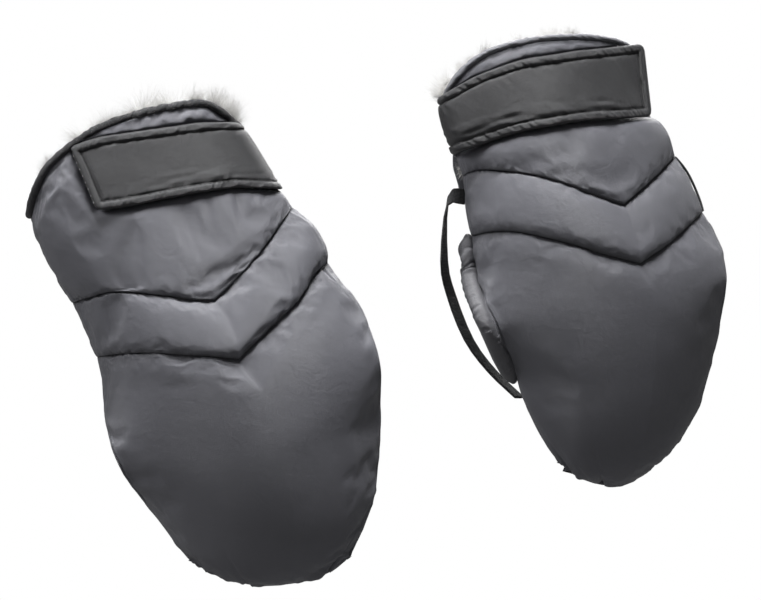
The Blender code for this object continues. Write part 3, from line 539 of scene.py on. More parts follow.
def rolledHem(mitt, bundle, ends):
    # the cloth turns in over a quarter circle at each named edge and runs on inside, so that the edge is round and
    # closed. The first three channels are the place, and what follows them is carried over from the edge
    core, radius = place(mitt, np.zeros(3)), hem["radius"]
    turns = {"top": lambda g: g, "bottom": lambda g: g[::-1], "low": lambda g: g.swapaxes(0, 1),
             "high": lambda g: g.swapaxes(0, 1)[::-1]}
    backs = {**turns, "high": lambda g: g[::-1].swapaxes(0, 1)}
    for end in ends:
        turned = turns[end](bundle)
        p, rest = turned[..., :3], turned[..., 3:]
        way = unit(p[0] - p[2])
        into = unit(np.cross(way, unit(np.gradient(p[0], axis=0))))
        into = into * np.sign(np.sum(into * (core - p[0]), axis=-1, keepdims=True) + 1e-12)
        near = np.linalg.norm(p - p[0], axis=-1, keepdims=True)
        p = p - way * radius * np.clip(1 - near / (hem["pull"] * radius), 0, 1)
        angle = np.linspace(0, np.pi / 2, hem["steps"] + 1)[1:, None, None]
        bend = p[0] + way * radius * np.sin(angle) + into * radius * (1 - np.cos(angle))
        corner = np.arange(p.shape[1])
        short = np.clip(np.minimum(corner, corner[::-1]) / hem["corner"], 0.05, 1)[:, None]
        run = bend[-1] + into * np.array([0.3, 1.0])[:, None, None] * hem["depth"] * short
        hemRows = np.concatenate([run[::-1], bend[::-1]])
        hemRows = np.concatenate([hemRows, np.broadcast_to(rest[:1], (len(hemRows), *rest.shape[1:]))], axis=-1)
        bundle = backs[end](np.concatenate([hemRows, np.concatenate([p, rest], axis=-1)]))
    return bundle


def depthOver(surface, x, z):
    # depth of a surface grid at (x, z): the near samples' own tangent planes, blended by 1 / distance to the fourth
    p = surface.reshape(-1, 3)
    du, dv = np.gradient(surface, axis=1).reshape(-1, 3), np.gradient(surface, axis=0).reshape(-1, 3)
    det = du[:, 0] * dv[:, 2] - du[:, 2] * dv[:, 0]
    det = np.where(np.abs(det) < 1e-12, 1e-12, det)
    slopeX = np.clip((du[:, 1] * dv[:, 2] - dv[:, 1] * du[:, 2]) / det, -3, 3)
    slopeZ = np.clip((dv[:, 1] * du[:, 0] - du[:, 1] * dv[:, 0]) / det, -3, 3)
    shape, found = np.shape(x), []
    for some in np.array_split(np.column_stack([np.ravel(x), np.ravel(z)]), max(1, np.size(x) // 1500)):
        dx, dz = some[:, :1] - p[:, 0], some[:, 1:] - p[:, 2]
        weight = 1 / ((dx * dx + dz * dz) + 1e-9) ** 2
        plane = p[:, 1] + slopeX * dx + slopeZ * dz
        found.append((weight * plane).sum(axis=1) / weight.sum(axis=1))
    return np.concatenate(found).reshape(shape)


# Finishes

def nodeGroup(name, inputs, outputs):
    # an empty shader group with its number sockets
    group = bpy.data.node_groups.new(name, "ShaderNodeTree")
    for label, value in inputs.items():
        group.interface.new_socket(name=label, in_out="INPUT", socket_type="NodeSocketFloat").default_value = value
    for label in outputs:
        group.interface.new_socket(name=label, in_out="OUTPUT", socket_type="NodeSocketFloat")
    return group, group.nodes.new("NodeGroupInput").outputs, group.nodes.new("NodeGroupOutput").inputs


def add(tree, kind, sources=None, **settings):
    # one node with its settings, its plain inputs and its links: sources maps an input to a value or a socket
    node = tree.nodes.new("ShaderNode" + kind)
    for key, value in settings.items():
        setattr(node, key, value)
    for key, value in (sources or {}).items():
        if isinstance(value, bpy.types.NodeSocket):
            tree.links.new(value, node.inputs[key])
        else:
            node.inputs[key].default_value = value
    return node


def sums(tree, kind, *values):
    # one step of arithmetic on two or three values
    return add(tree, "Math", dict(enumerate(values)), operation=kind).outputs[0]


def noiseNode(tree, vector, scale, detail, roughness, distortion=0.0):
    return add(tree, "TexNoise", {
        "Vector": vector, "Scale": scale, "Detail": detail, "Roughness": roughness, "Distortion": distortion,
    }).outputs["Fac"]


def clothGroup():
    # woven cloth: a plain weave from two crossed waves on the cloth's own UV in metres, soft crinkles from noise on
    # Object coordinates, and slow changes of shade and gloss
    group, given, out = nodeGroup("wovenCloth", {
        "Thread": 0.0006, "Weave": 0.3, "Crinkle": 0.006, "Crease": 1.0, "Mottle": 0.12, "Gloss": 0.42,
        "Gloss Change": 0.1,
    }, ("Shade", "Roughness", "Height"))
    spot = add(group, "TexCoord").outputs["Object"]
    cloth = add(group, "UVMap", uv_map="cloth").outputs[0]
    threads = sums(group, "DIVIDE", 0.5, given["Thread"])
    ribs = [add(group, "TexWave", {"Vector": cloth, "Scale": threads}, bands_direction=way).outputs["Fac"]
            for way in ("X", "Y")]
    weave = sums(group, "MULTIPLY", sums(group, "MULTIPLY", *ribs), given["Weave"])
    crinkle = noiseNode(group, spot, sums(group, "DIVIDE", 1.0, given["Crinkle"]), 5.0, 0.62, 0.9)
    slow = sums(group, "SUBTRACT", noiseNode(group, spot, 38.0, 3.0, 0.55), 0.5)
    shade = sums(group, "MULTIPLY_ADD", slow, given["Mottle"], 1.0)
    group.links.new(sums(group, "MULTIPLY_ADD", weave, 0.25, shade), out["Shade"])
    group.links.new(sums(group, "MULTIPLY_ADD", slow, given["Gloss Change"], given["Gloss"]), out["Roughness"])
    group.links.new(sums(group, "ADD", weave, sums(group, "MULTIPLY", crinkle, given["Crease"])), out["Height"])
    return group


def puckerAndShadeGroup():
    # fine gathers beside a seam: noise drawn out along the way square to the seam, faded by the point mark of the
    # seams, and painted shade that darkens the cloth along the same mark
    group, given, out = nodeGroup("seamPuckersAndShade", {"Length": 0.0016, "Depth": 1.0}, ("Height", "Shade"))
    cloth = add(group, "UVMap", uv_map="cloth").outputs[0]
    drawn = add(group, "Mapping", {"Vector": cloth, "Scale": (1.0, 0.22, 1.0)}).outputs[0]
    ridges = noiseNode(group, drawn, sums(group, "DIVIDE", 1.0, given["Length"]), 2.0, 0.5, 0.4)
    seamShadeAndPuckers = add(group, "Attribute", attribute_name="seamShadeAndPuckers").outputs["Fac"]
    group.links.new(sums(group, "MULTIPLY", sums(group, "MULTIPLY", ridges, seamShadeAndPuckers), given["Depth"]), out["Height"])
    # painted shade: 1 less 0.6 times the mark squared, darker in the grooves of seams, stitch lines and pleat folds
    group.links.new(sums(group, "MULTIPLY_ADD", sums(group, "POWER", seamShadeAndPuckers, 2.0), -0.6, 1.0), out["Shade"])
    return group


def pileGroup():
    # deep pile: clumps from coarse noise, hairs from fine noise
    group, given, out = nodeGroup("deepPile", {"Clump": 0.008}, ("Shade", "Height"))
    spot = add(group, "TexCoord").outputs["Object"]
    clumps = noiseNode(group, spot, sums(group, "DIVIDE", 1.0, given["Clump"]), 4.0, 0.6, 1.4)
    pileHairs = noiseNode(group, spot, 1400.0, 2.0, 0.6)
    group.links.new(sums(group, "MULTIPLY_ADD", clumps, 0.45, 0.74), out["Shade"])
    group.links.new(sums(group, "MULTIPLY_ADD", pileHairs, 0.3, clumps), out["Height"])
    return group


groups = {"cloth": clothGroup(), "puckers": puckerAndShadeGroup(), "pile": pileGroup()}


def finished(name, colour, sheen, sheenGloss, makeTree):
    # one finish: its colour times a shade that changes over the surface, and a bump from a height in metres.
    # makeTree adds the nodes and returns the shade, the height, the height's size and the roughness
    finish = bpy.data.materials.new(name)
    finish.use_nodes = True
    tree = finish.node_tree
    given = tree.nodes["Principled BSDF"].inputs
    shade, height, bump, roughness = makeTree(tree)
    grey = add(tree, "CombineColor", {"Red": shade, "Green": shade, "Blue": shade})
    mix = add(tree, "Mix", {"Factor": 1.0}, data_type="RGBA", blend_type="MULTIPLY")
    mix.inputs[6].default_value = (*colour, 1)
    tree.links.new(grey.outputs[0], mix.inputs[7])
    tree.links.new(mix.outputs[2], given["Base Color"])
    lift = add(tree, "Bump", {"Height": height, "Strength": 1.0, "Distance": bump})
    tree.links.new(lift.outputs[0], given["Normal"])
    if isinstance(roughness, bpy.types.NodeSocket):
        tree.links.new(roughness, given["Roughness"])
    else:
        given["Roughness"].default_value = roughness
    given["Sheen Weight"].default_value, given["Sheen Roughness"].default_value = sheen, sheenGloss
    return finish


def clothFinish(name, colour, weave, bump, puckers=0.0, sheen=0.0, sheenGloss=0.3):
    def clothTree(tree):
        cloth = add(tree, "Group", node_tree=groups["cloth"])
        for label, value in zip(("Thread", "Weave", "Crinkle", "Crease", "Mottle", "Gloss", "Gloss Change"), weave):
            cloth.inputs[label].default_value = value
        shade, height, roughness = (cloth.outputs[label] for label in ("Shade", "Height", "Roughness"))
        # the pucker group also brings painted shade, which darkens the colour along the seam mark
        if puckers:
            gathers = add(tree, "Group", {"Depth": puckers}, node_tree=groups["puckers"]).outputs
            shade = sums(tree, "MULTIPLY", shade, gathers["Shade"])
            height = sums(tree, "ADD", height, gathers["Height"])
        return shade, height, bump, roughness

    return finished(name, colour, sheen, sheenGloss, clothTree)


def pileTree(tree):
    pile = add(tree, "Group", node_tree=groups["pile"]).outputs
    return pile["Shade"], pile["Height"], 0.0012, 0.9


# of each cloth: colour, then size and depth of the threads, size and depth of the crinkles, mottle, gloss and its
# change, and the bump's height in metres
finishes = {
    "shell": clothFinish("quiltedNylon", (0.155, 0.156, 0.177), (0.00045, 0.10, 0.011, 0.6, 0.10, 0.40, 0.14), 0.0008,
                         puckers=0.9, sheen=0.12, sheenGloss=0.35),
    "strap": clothFinish("strapNylon", (0.046, 0.046, 0.049), (0.0005, 0.16, 0.007, 0.6, 0.2, 0.46, 0.12), 0.0006,
                         puckers=0.6, sheen=0.1),
    # the right mitt's cuff binding: the same dark tape as the other bindings, painted pale to stand in for the light
    # it catches on that rim
    "paleBinding": clothFinish("paintedLitBindingTape", (0.205, 0.206, 0.228), (0.0006, 0.2, 0.005, 0.7, 0.2, 0.40, 0.2),
                               0.0006, sheen=0.1),
    "binding": clothFinish("bindingTape", (0.032, 0.032, 0.036), (0.0007, 0.3, 0.004, 0.8, 0.3, 0.36, 0.2), 0.0006,
                           sheen=0.1),
    "elastic": clothFinish("gatheredHem", (0.120, 0.120, 0.131), (0.0005, 0.12, 0.005, 0.8, 0.2, 0.40, 0.14), 0.0006,
                           sheen=0.1),
    "webbing": clothFinish("ribbedWebbing", (0.016, 0.016, 0.018), (0.0016, 0.8, 0.003, 0.3, 0.4, 0.72, 0.1), 0.0006,
                           sheen=0.15),
    "tape": clothFinish("hookAndLoop", (0.022, 0.022, 0.024), (0.0014, 1.0, 0.0016, 1.0, 0.5, 0.85, 0.1), 0.0007,
                        sheen=0.3),
    "thread": clothFinish("sewingThread", (0.030, 0.030, 0.033), (0.0003, 0.5, 0.001, 0.5, 0.5, 0.55, 0.1), 0.0001),
    "paleThread": clothFinish("paleThread", (0.62, 0.62, 0.62), (0.0003, 0.4, 0.001, 0.4, 0.3, 0.5, 0.1), 0.0001),
    "pile": finished("whitePile", (0.80, 0.79, 0.77), 0.35, 0.5, pileTree),
}


def dress(piece, finish, body, nodes=()):
    # the piece's finish, the body it rides on and the CAD nodes it stands for
    piece.data.materials.append(finishes[finish])
    if body:
        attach(piece, body)
    if nodes:
        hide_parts(*nodes)
    return piece


# Quilted front

quilt = {
    "columns": 190, "rows": (64, 46, 120), "body": 0.45 * mm,
    # at a quilting line: the dent's depth, the width over which the puff above rolls into it, the shares of the dent
    # above and below it, and how far from the sides it is at its full depth, in mm
    "dent": 4.2 * mm, "roll": 7 * mm, "above": 0.4, "below": 0.8, "dentFrom": 22,
    # folds beside a seam: height, then size along it and reach away from it in mm
    "fine": (0.7 * mm, 1.9, 4.2), "mid": (0.6 * mm, 5.0, 8.5), "broad": (0.35 * mm, 19, 20),
    "side": (0.9 * mm, 6.5, 8), "sideFold": (1.7 * mm, 10, 13), "toe": (1.8 * mm, 7.5, 12),
    # a pleat: depth, width of its slow and its quick side and reach up from the toe in mm, and its slant
    "pleat": 6.5 * mm, "pleatSlow": 6, "pleatQuick": 1.1, "pleatReach": 9, "pleatSlant": 0.35,
    # the side seam's stitch line: how far in it lies and how deep it presses
    "seamIn": 2.3, "seamPress": 1.2 * mm,
    # how deep the strap presses, how far the padding swells beside it, and how soft the strap's edge is
    "strapPress": 2.8 * mm, "strapPuff": 4.4 * mm, "strapSoft": 2.4 * mm,
}
settling = {"bending": 0.4, "pressure": 1.0, "excess": 0.016, "frames": 20, "cap": 1.5 * mm}


def frontRows(counts):
    # patch number and share down it for each row, closer together at the quilting lines
    blocks = []
    for number, count in enumerate(counts):
        down = spacedShares(count, 0.75)[1 if number else 0:]
        blocks.append(np.column_stack([np.full(len(down), number), down]))
    return np.vstack(blocks)


def rampUp(distance, width, low=0.0):
    # 0, or low, at a seam, and 1 from a width away on
    return np.clip(distance / width, low, 1)


def ripples(kind, s, d, seed, octaves=1):
    # folds that stand square to a seam: noise along it, drawn out away from it, times exp(-distance / reach)
    height, size, reach = quilt[kind]
    return height * layered(s / size, d / (3.2 * size) + seed, seed, octaves) * np.exp(-d / reach)


def spread(values, shape):
    # a grid's values at a finer grid's rows and columns, linear along each way
    for axis, count in enumerate(shape):
        place1 = np.linspace(0, values.shape[axis] - 1, count)
        low = np.minimum(place1.astype(int), values.shape[axis] - 2)
        part = (place1 - low).reshape([-1 if k == axis else 1 for k in range(values.ndim)])
        values = np.take(values, low, axis) * (1 - part) + np.take(values, low + 1, axis) * part
    return values


def settled(grid, held):
    # every second point of the sheet becomes a cloth, a little too large for its seams, which are held; air blows it
    # up for a few frames, and each point's way, at most the cap, is spread over the whole sheet
    rows, cols = (np.linspace(0, n - 1, n // 2 + 1).round().astype(int) for n in grid.shape[:2])
    coarse = grid[rows][:, cols]
    piece = gridPiece("settling", coarse)
    pins = piece.vertex_groups.new(name="seams")
    pins.add(np.flatnonzero(held[rows][:, cols]).tolist(), 1.0, "REPLACE")
    cloth = piece.modifiers.new("cloth", "CLOTH")
    given = cloth.settings
    given.quality, given.mass, given.vertex_group_mass = 6, 0.12, "seams"
    given.tension_stiffness = given.compression_stiffness = 18.0
    given.shear_stiffness, given.bending_stiffness = 4.0, settling["bending"]
    given.use_pressure, given.uniform_pressure_force = True, settling["pressure"]
    given.shrink_min = -settling["excess"]
    given.effector_weights.gravity = 0.0
    cloth.collision_settings.use_collision = False
    cloth.point_cache.frame_start, cloth.point_cache.frame_end = 1, settling["frames"]
    scene = bpy.context.scene
    for frameNumber in range(1, settling["frames"] + 1):
        scene.frame_set(frameNumber)
    shown = piece.evaluated_get(bpy.context.evaluated_depsgraph_get()).to_mesh()
    place1 = np.empty(len(shown.vertices) * 3, np.float32)
    shown.vertices.foreach_get("co", place1)
    moved = place1.reshape(coarse.shape) - coarse
    scene.frame_set(1)
    mesh = piece.data
    bpy.data.objects.remove(piece)
    bpy.data.meshes.remove(mesh)
    far = np.linalg.norm(moved, axis=-1, keepdims=True)
    print("settled", "mean", round(float(far.mean()) / mm, 2), "most", round(float(far.max()) / mm, 2), "mm")
    return spread(moved * np.minimum(1, settling["cap"] / np.maximum(far, 1e-9)), grid.shape[:2])


def makeFront(form):
    # the front sheet: above each quilting line the puff rolls over in a quarter circle, below it the next one rises
    # as exp(-distance), and gathers, folds and pleats fade away from every seam. s and t run across and down in mm
    mitt = form["mitt"]
    name, seed, lively = mitt["name"], seedOf(mitt, "front"), mitt["lively"]
    rows, across = frontRows(quilt["rows"]), spacedShares(quilt["columns"], 0.7, pair["apexShare"])
    flatGrid = frontSheet(form, across, rows)
    grid = place(mitt, flatGrid)
    normals = gridNormals(grid)
    s, t = arcLengths(grid, 1) / mm, arcLengths(grid, 0) / mm
    toSide, toToe = np.minimum(s, s[:, -1:] - s), t[-1] - t
    toInner = s[:, -1:] - s if mitt["inner"] == "high" else s
    lineRows = quilt["rows"][0] - 1, quilt["rows"][0] + quilt["rows"][1] - 2
    push, later, seamShadeAndPuckers = quilt["body"] * layered(s / 48, t / 48, seed + 24, 2), np.zeros_like(s), np.zeros_like(s)
    held = np.minimum(toSide, toToe) < 0.4
    for k, row in enumerate(lineRows):
        d = np.abs(t - t[row])
        roll = 1 - np.sqrt(1 - (1 - np.minimum(d * mm / quilt["roll"], 1)) ** 2)
        rise = 0.6 * np.exp(-d / 7) + 0.4 * np.exp(-d / 1.5)
        deep = (1 + 0.28 * noise(s / 16, 0.5, seed + 12 + k)) * rampUp(toSide, quilt["dentFrom"], 0.25)
        deep += (0, mitt["cinch"])[k] * np.exp(-toInner / 8) * (1 - np.exp(-toInner / 2.5))
        push -= quilt["dent"] * deep * np.where(t < t[row], quilt["above"] * roll, quilt["below"] * rise)
        # the finest folds lie on the settled cloth, and none reaches into the line itself
        offLine = 1 - np.exp(-d / 0.9)
        later += ripples("fine", s, d, seed + k, 2) * offLine
        later += lively * ripples("mid", s, d, seed + 5 + k) * offLine
        push += lively * ripples("broad", s, d, seed + 8 + k) * (1 - np.exp(-d / 4))
        held |= d < 0.4
        # the mark for puckers and painted shade along the quilting line
        seamShadeAndPuckers = np.maximum(seamShadeAndPuckers, np.exp(-d / 1.8))
    push += ripples("side", t, toSide, seed + 20) * rampUp(toSide, 2)
    folds = lively * ripples("sideFold", t - 0.7 * toSide, toSide, seed + 21, 2)
    push += folds * rampUp(toSide, 5) * (t > t[lineRows[1]])
    push += ripples("toe", s, toToe, seed + 22, 2) * rampUp(toToe, 1.5)
    for share in mitt["pleats"]:
        # a pleat: the cloth sinks slowly towards it and comes back up at once on its other side
        x = s - share * s[:, -1:] - quilt["pleatSlant"] * toToe * math.copysign(1, share - 0.5)
        slow, quick = np.clip(1 + x / quilt["pleatSlow"], 0, 1) ** 2, np.clip(1 - x / quilt["pleatQuick"], 0, 1)
        push -= quilt["pleat"] * np.where(x < 0, slow, quick) * np.exp(-toToe / quilt["pleatReach"])
        # painted shade in the pleat's fold, through the same mark
        seamShadeAndPuckers = np.maximum(seamShadeAndPuckers, np.clip(1 - np.abs(x) / 1.3, 0, 1) * np.exp(-toToe / 8))
    rimFolds = layered((s + 0.8 * t) / 5.5, t / 22, seed + 26, 2) * np.exp(-t / 14)
    push += mitt["rimFold"] * rimFolds * rampUp(t, 3)
    seamLine = np.exp(-((toSide - quilt["seamIn"]) / 0.7) ** 2) * (t > 3)
    fade = rampUp(toSide, 9, 0.12)
    push = push * fade - quilt["seamPress"] * seamLine
    # the same mark, for puckers and painted shade, along the side seam's stitch line and at the toe
    seamShadeAndPuckers = np.maximum(seamShadeAndPuckers, np.maximum(0.8 * seamLine, 0.7 * np.exp(-toToe / 1.5)))
    cover, beside = strapCover(mitt, flatGrid, quilt["strapSoft"])
    push += quilt["strapPuff"] * beside * rampUp(toSide, 12) * np.clip(t / 13 - 0.15, 0, 1)
    push -= quilt["strapPress"] * cover * rampUp(toSide, 7)
    grid = grid + normals * push[..., None]
    held |= (cover > 0.5) | (t < 2)
    free = rampUp(np.minimum(toSide, toToe), 3) * (1 - cover)
    grid = grid + lively * settled(grid, held) * free[..., None]
    grid = grid + gridNormals(grid) * (later * fade)[..., None]
    piece = shellPiece(mitt, name + "FrontShell", underRim(channels(grid, s, t, seamShadeAndPuckers), normals[0]))
    dress(piece, "shell", name + "_mitt", (name + "_front_shell", name + "_front_wadding"))
    return {"grid": grid, "rows": lineRows, "normals": gridNormals(grid)}


def channels(grid, s, t, seamShadeAndPuckers):
    # place, running lengths in metres and the seam mark, which drives puckers and painted shade, of every point side
    # by side
    return np.concatenate([grid, (s * mm)[..., None], (t * mm)[..., None], seamShadeAndPuckers[..., None]], axis=-1)


def shellPiece(mitt, name, bundle, ends=("low", "high", "bottom"), flip=False):
    # a sheet of shell cloth with its edges rolled in
    wide = rolledHem(mitt, bundle, ends)
    return gridPiece(name, wide[..., :3], wide[..., 3:5], {"seamShadeAndPuckers": wide[..., 5]}, flip)


def underRim(bundle, out):
    # two more rows that run on upwards and dive in under the rim's binding
    way = unit(bundle[0, :, :3] - bundle[1, :, :3])
    rows = [np.concatenate([bundle[0, :, :3] + (way - 0.9 * out) * far, bundle[0, :, 3:]], axis=-1)
            for far in (3.2 * mm, 1.4 * mm)]
    return np.concatenate([np.stack(rows), bundle])


def strapEdges(mitt):
    # the strap's upper and lower edge in metres, and the index of their free end
    size = np.array([pair["width"], pair["length"]])
    free = 0 if mitt["inner"] == "high" else -1
    return np.array(mitt["strapTop"]) * size, np.array(mitt["strapBottom"]) * size, free


def strapCover(mitt, grid, soft):
    # 1 under the strap and 0 away from it, eased at its edges and its free end, and how the padding swells beside it
    top, bottom, free = strapEdges(mitt)
    x, z = grid[..., 0], grid[..., 2]
    upper, lower = np.interp(x, *top.T), np.interp(x, *bottom.T)
    level = np.clip((upper - z) / (upper - lower), 0, 1)
    fromEnd = (x - top[free, 0] - level * (bottom[free, 0] - top[free, 0])) * mitt["innerSign"]
    inside = np.minimum(np.minimum(upper - z, z - lower), fromEnd)
    away = np.maximum(-inside, 0)
    return ease(inside / soft + 0.5), np.exp(-away / (60 * mm)) * (1 - np.exp(-away / (3.5 * mm)))


# Back panels

backs = {
    "columns": 120, "rows": 60, "wrinkle": 0.9 * mm, "gather": 0.9 * mm, "strapSoft": 4 * mm, "strapShare": 0.6,
    # the slit's bow, and where it is largest above the tube's crossing
    "gape": 5.5 * mm, "gapeAt": 86 * mm,
}


def makeBack(form, part, label):
    # a back panel with soft wrinkles and gathers beside its seams. s and t run across and down in mm
    mitt, cuff = form["mitt"], part == "cuffBack"
    name, seed = mitt["name"], seedOf(mitt, "back") + len(part)
    flatGrid = backSheet(form, part, spacedShares(backs["columns"], 0.7), spacedShares(backs["rows"], 0.6))
    grid = place(mitt, flatGrid)
    normals = -gridNormals(grid)
    s, t = arcLengths(grid, 1) / mm, arcLengths(grid, 0) / mm
    toSide, toEnd = np.minimum(s, s[:, -1:] - s), t if cuff else t[-1] - t
    push = backs["wrinkle"] * layered(s / 42, t / 42, seed, 3) * rampUp(toSide, 6, 0.1)
    for run, away, length, reach, number in ((t, toSide, 14, 10, 1), (s, toEnd, 20, 12, 2)):
        gathers = noise(run / 7, away / length, seed + number) * np.exp(-away / reach)
        push += backs["gather"] * gathers * rampUp(away, 1.5)
    if cuff:
        cover = strapCover(mitt, flatGrid, backs["strapSoft"])[0]
        push -= quilt["strapPress"] * backs["strapShare"] * cover * rampUp(toSide, 7)
    if cuff and mitt["inner"] == "low":
        # below the strap the slit gapes: its rear edge bows outwards
        bow = np.exp(-((flatGrid[..., 2] - backs["gapeAt"]) / (15 * mm)) ** 2)
        grid[..., 0] -= backs["gape"] * np.exp(-((s / 8) ** 2)) * bow
    grid = grid + normals * (push - 0.3 * mm)[..., None]
    # the seam mark at the panel's edges, for puckers and painted shade
    bundle = channels(grid, s, t, 0.7 * np.exp(-np.minimum(toSide, toEnd) / 1.5))
    bundle = underRim(bundle, normals[0]) if cuff else bundle
    ends = ("low", "high", "bottom") if cuff else ("low", "high", "bottom", "top")
    key = "_cuff_back" if cuff else "_pouch_back"
    piece = shellPiece(mitt, name + label + "Shell", bundle, ends, flip=True)
    dress(piece, "shell", name + "_mitt", (name + key + "_shell", name + key + "_wadding"))


# Pile lining

lining = {
    "columns": 96, "rows": (34, 20, 60), "backRows": 40, "tuft": 1.3 * mm, "rimShare": 0.05,
    # how far the pile's outer and inner face are drawn in, and how much deeper than the wadding they lie in front
    "front": ((9.0 * mm, 3.6 * mm, "outer"), (10.6 * mm, 1.6 * mm, "inner")),
    "back": ((8.0 * mm, 0.0, "outer"), (10.4 * mm, 0.0, "inner")),
}


def tufted(grid, seed, outward):
    # the pile's free face stands up and down in small clumps: noise of two sizes on the running lengths
    s, t = arcLengths(grid, 1) / mm, arcLengths(grid, 0) / mm
    push = lining["tuft"] * (0.6 * layered(s / 9, t / 9, seed, 2) + 0.5 * noise(s / 3.4, t / 3.4, seed + 3))
    return grid + gridNormals(grid) * (outward * push)[..., None]


def makeLining(form):
    # slabs of pile inside the three panels: 5 mm deep, thinner where the rim presses them
    mitt = form["mitt"]
    name, seed = mitt["name"], seedOf(mitt, "lining")
    across, down = spacedShares(lining["columns"], 0.6), spacedShares(lining["backRows"], 0.5)
    rows, start = frontRows(lining["rows"]), lining["rimShare"]
    rows[:, 1] = np.where(rows[:, 0] == 0, start + (1 - start) * rows[:, 1], rows[:, 1])
    outer, inner = (
        place(mitt, frontSheet(form, across, rows, inset, layerDepth(pair["wadding"] + extra, face)))
        for inset, extra, face in lining["front"]
    )
    piece = slabPiece(name + "FrontPile", outer, tufted(inner, seed, -1))
    dress(piece, "pile", name + "_mitt", (name + "_front_pile",))
    for part, key, label in (
        ("cuffBack", "_cuff_back_pile", "CuffBackPile"), ("pouchBack", "_pouch_back_pile", "PouchBackPile"),
    ):
        outer, inner = (
            place(mitt, backSheet(form, part, across, down, inset, layerDepth(pair["backWadding"] + extra, face)))
            for inset, extra, face in lining["back"]
        )
        piece = slabPiece(name + label, tufted(inner, seed + 7, 1), outer)
        dress(piece, "pile", name + "_mitt", (name + key,))


# Bindings

binding = {
    "radius": 2.1 * mm, "steps": 840, "around": 20, "wrinkle": 0.2, "slitShare": 0.09, "inset": 1.6 * mm,
    "pouchHeight": 2.2 * mm, "pouchDepth": 5.6 * mm, "pouchSteps": 260, "pouchAbove": 2.6 * mm, "pouchInset": 5.4 * mm,
}


def tubeAlong(path, across, deep, steps, around, bumps, cap=4):
    # an oval tube along a path with rounded ends: its section stands square to the path, its radii change along it
    line = along(path, np.linspace(0, 1, steps))
    way = unit(np.gradient(line, axis=0))
    back = unit(np.cross(way, np.array([0.0, 0.0, 1.0])) + 1e-9)
    up = unit(np.cross(back, way))
    length = arcLengths(line, 0)[:, None]
    angle = np.linspace(0, 2 * np.pi, around, endpoint=False)[None]
    end = np.minimum(np.arange(steps), np.arange(steps)[::-1])[:, None]
    size = (1 + bumps(length, angle)) * np.sqrt(np.clip(1 - (1 - np.clip(end / cap, 0, 1)) ** 2, 0.0004, 1))
    ring = (np.cos(angle) * deep * size)[..., None] * back[:, None]
    ring = ring + (np.sin(angle) * across * size)[..., None] * up[:, None]
    uv = np.stack(np.broadcast_arrays(length, angle * across), axis=-1)
    return line[:, None] + ring, uv


def cuffPath(form, shares):
    # the line that the rim's binding follows over one face, from the inner side: the front's first, then the back's
    mitt, start = form["mitt"], binding["slitShare"]
    at = (1 - np.cos(np.pi * (start + (1 - start) * shares))) / 2
    at = at if mitt["inner"] == "low" else 1 - at
    lower = binding["radius"] / pair["rimRoom"]
    flat = along(form["rimTop"], at) * (1 - lower) + along(form["rim"], at) * lower
    full, edge = np.sin(np.pi * np.clip(at, 0, 1)), edgeDepth(mitt, flat)
    paths = []
    for power, deep in ((pair["frontArch"], binding["inset"] - pair["mouth"]),
                        (pair["backArch"], pair["back"] - binding["inset"])):
        paths.append(np.column_stack([flat[:, 0], edge * (1 - full**power) + deep * full**power, flat[:, 1]]))
    return paths


def makeBindings(form):
    # a wrinkled tape over the rim's layers, open at the slit, and a plain one on the pouch panel's upper edge
    mitt = form["mitt"]
    name, seed = mitt["name"], seedOf(mitt, "binding")
    front, back = cuffPath(form, np.linspace(0, 1, 160))
    path = place(mitt, smoothLine(np.vstack([front, back[-2::-1]])[::4], 8))

    def wrinkles(length, angle):
        # slanted wrinkles that come and go along the tape
        t = length / mm
        coming = np.clip(0.55 + 0.9 * noise(t / 14, 0.5, seed + 2), 0.15, 1.2)
        fine = noise(t / 2.4 + 1.4 * np.sin(angle), angle / 1.8, seed)
        return binding["wrinkle"] * coming * (fine + 0.5 * noise(t / 9, angle / 2, seed + 1))

    def ripple(length, angle):
        return 0.12 * noise(length / (4 * mm), angle / 2, seed + 4)

    radius = binding["radius"] * mitt["bindingShare"]
    grid, uv = tubeAlong(path, radius, radius * 1.15, binding["steps"], binding["around"], wrinkles)
    piece = ringPiece(name + "CuffBinding", grid, uv)
    dress(piece, mitt["bindingFinish"], name + "_mitt", (name + "_cuff_binding",))
    across, turn = np.linspace(0.03, 0.97, 80), mitt["tubeTurn"]
    flat = coons(form["pouchBack"], across, np.zeros_like(across))
    flat = flat + np.array([-math.sin(turn), math.cos(turn)]) * binding["pouchAbove"]
    full = np.sin(np.pi * across) ** pair["backArch"]
    y = (edgeDepth(mitt, flat) + pair["seamGap"]) * (1 - full) + (pair["back"] - binding["pouchInset"]) * full
    path = placed(mitt, flat[:, 0], y, flat[:, 1])
    grid, uv = tubeAlong(path, binding["pouchHeight"], binding["pouchDepth"], binding["pouchSteps"],
                         binding["around"], ripple)
    dress(ringPiece(name + "PouchBinding", grid, uv), "binding", name + "_mitt", (name + "_pouch_binding",))


# Closing strap

strap = {
    "levels": 56, "steps": 300, "tail": 22 * mm, "turn": 17 * mm, "lift": 18 * mm, "stand": 0.4 * mm,
    "wall": 3.6 * mm, "patchLength": 62 * mm, "patchMargin": 6 * mm, "patchGap": 0.3 * mm, "tape": 0.9 * mm,
    "touch": 0.15 * mm, "corner": 5 * mm, "stitchIn": 5.6 * mm, "border": 2.5 * mm, "middle": 1.9 * mm,
    # gap over the cuff away from the patches, cloth over the padding, and the radius of its stitches
    "rest": 0.5 * mm, "cloth": 0.35 * mm, "stitch": 0.2 * mm,
    # gathers of the border, creases inside the stitches, soft swells, long folds, and the edge's scallops
    "pucker": 0.75 * mm, "crease": 0.5 * mm, "swell": 0.85 * mm, "fold": 0.8 * mm, "scallop": 0.3 * mm,
}


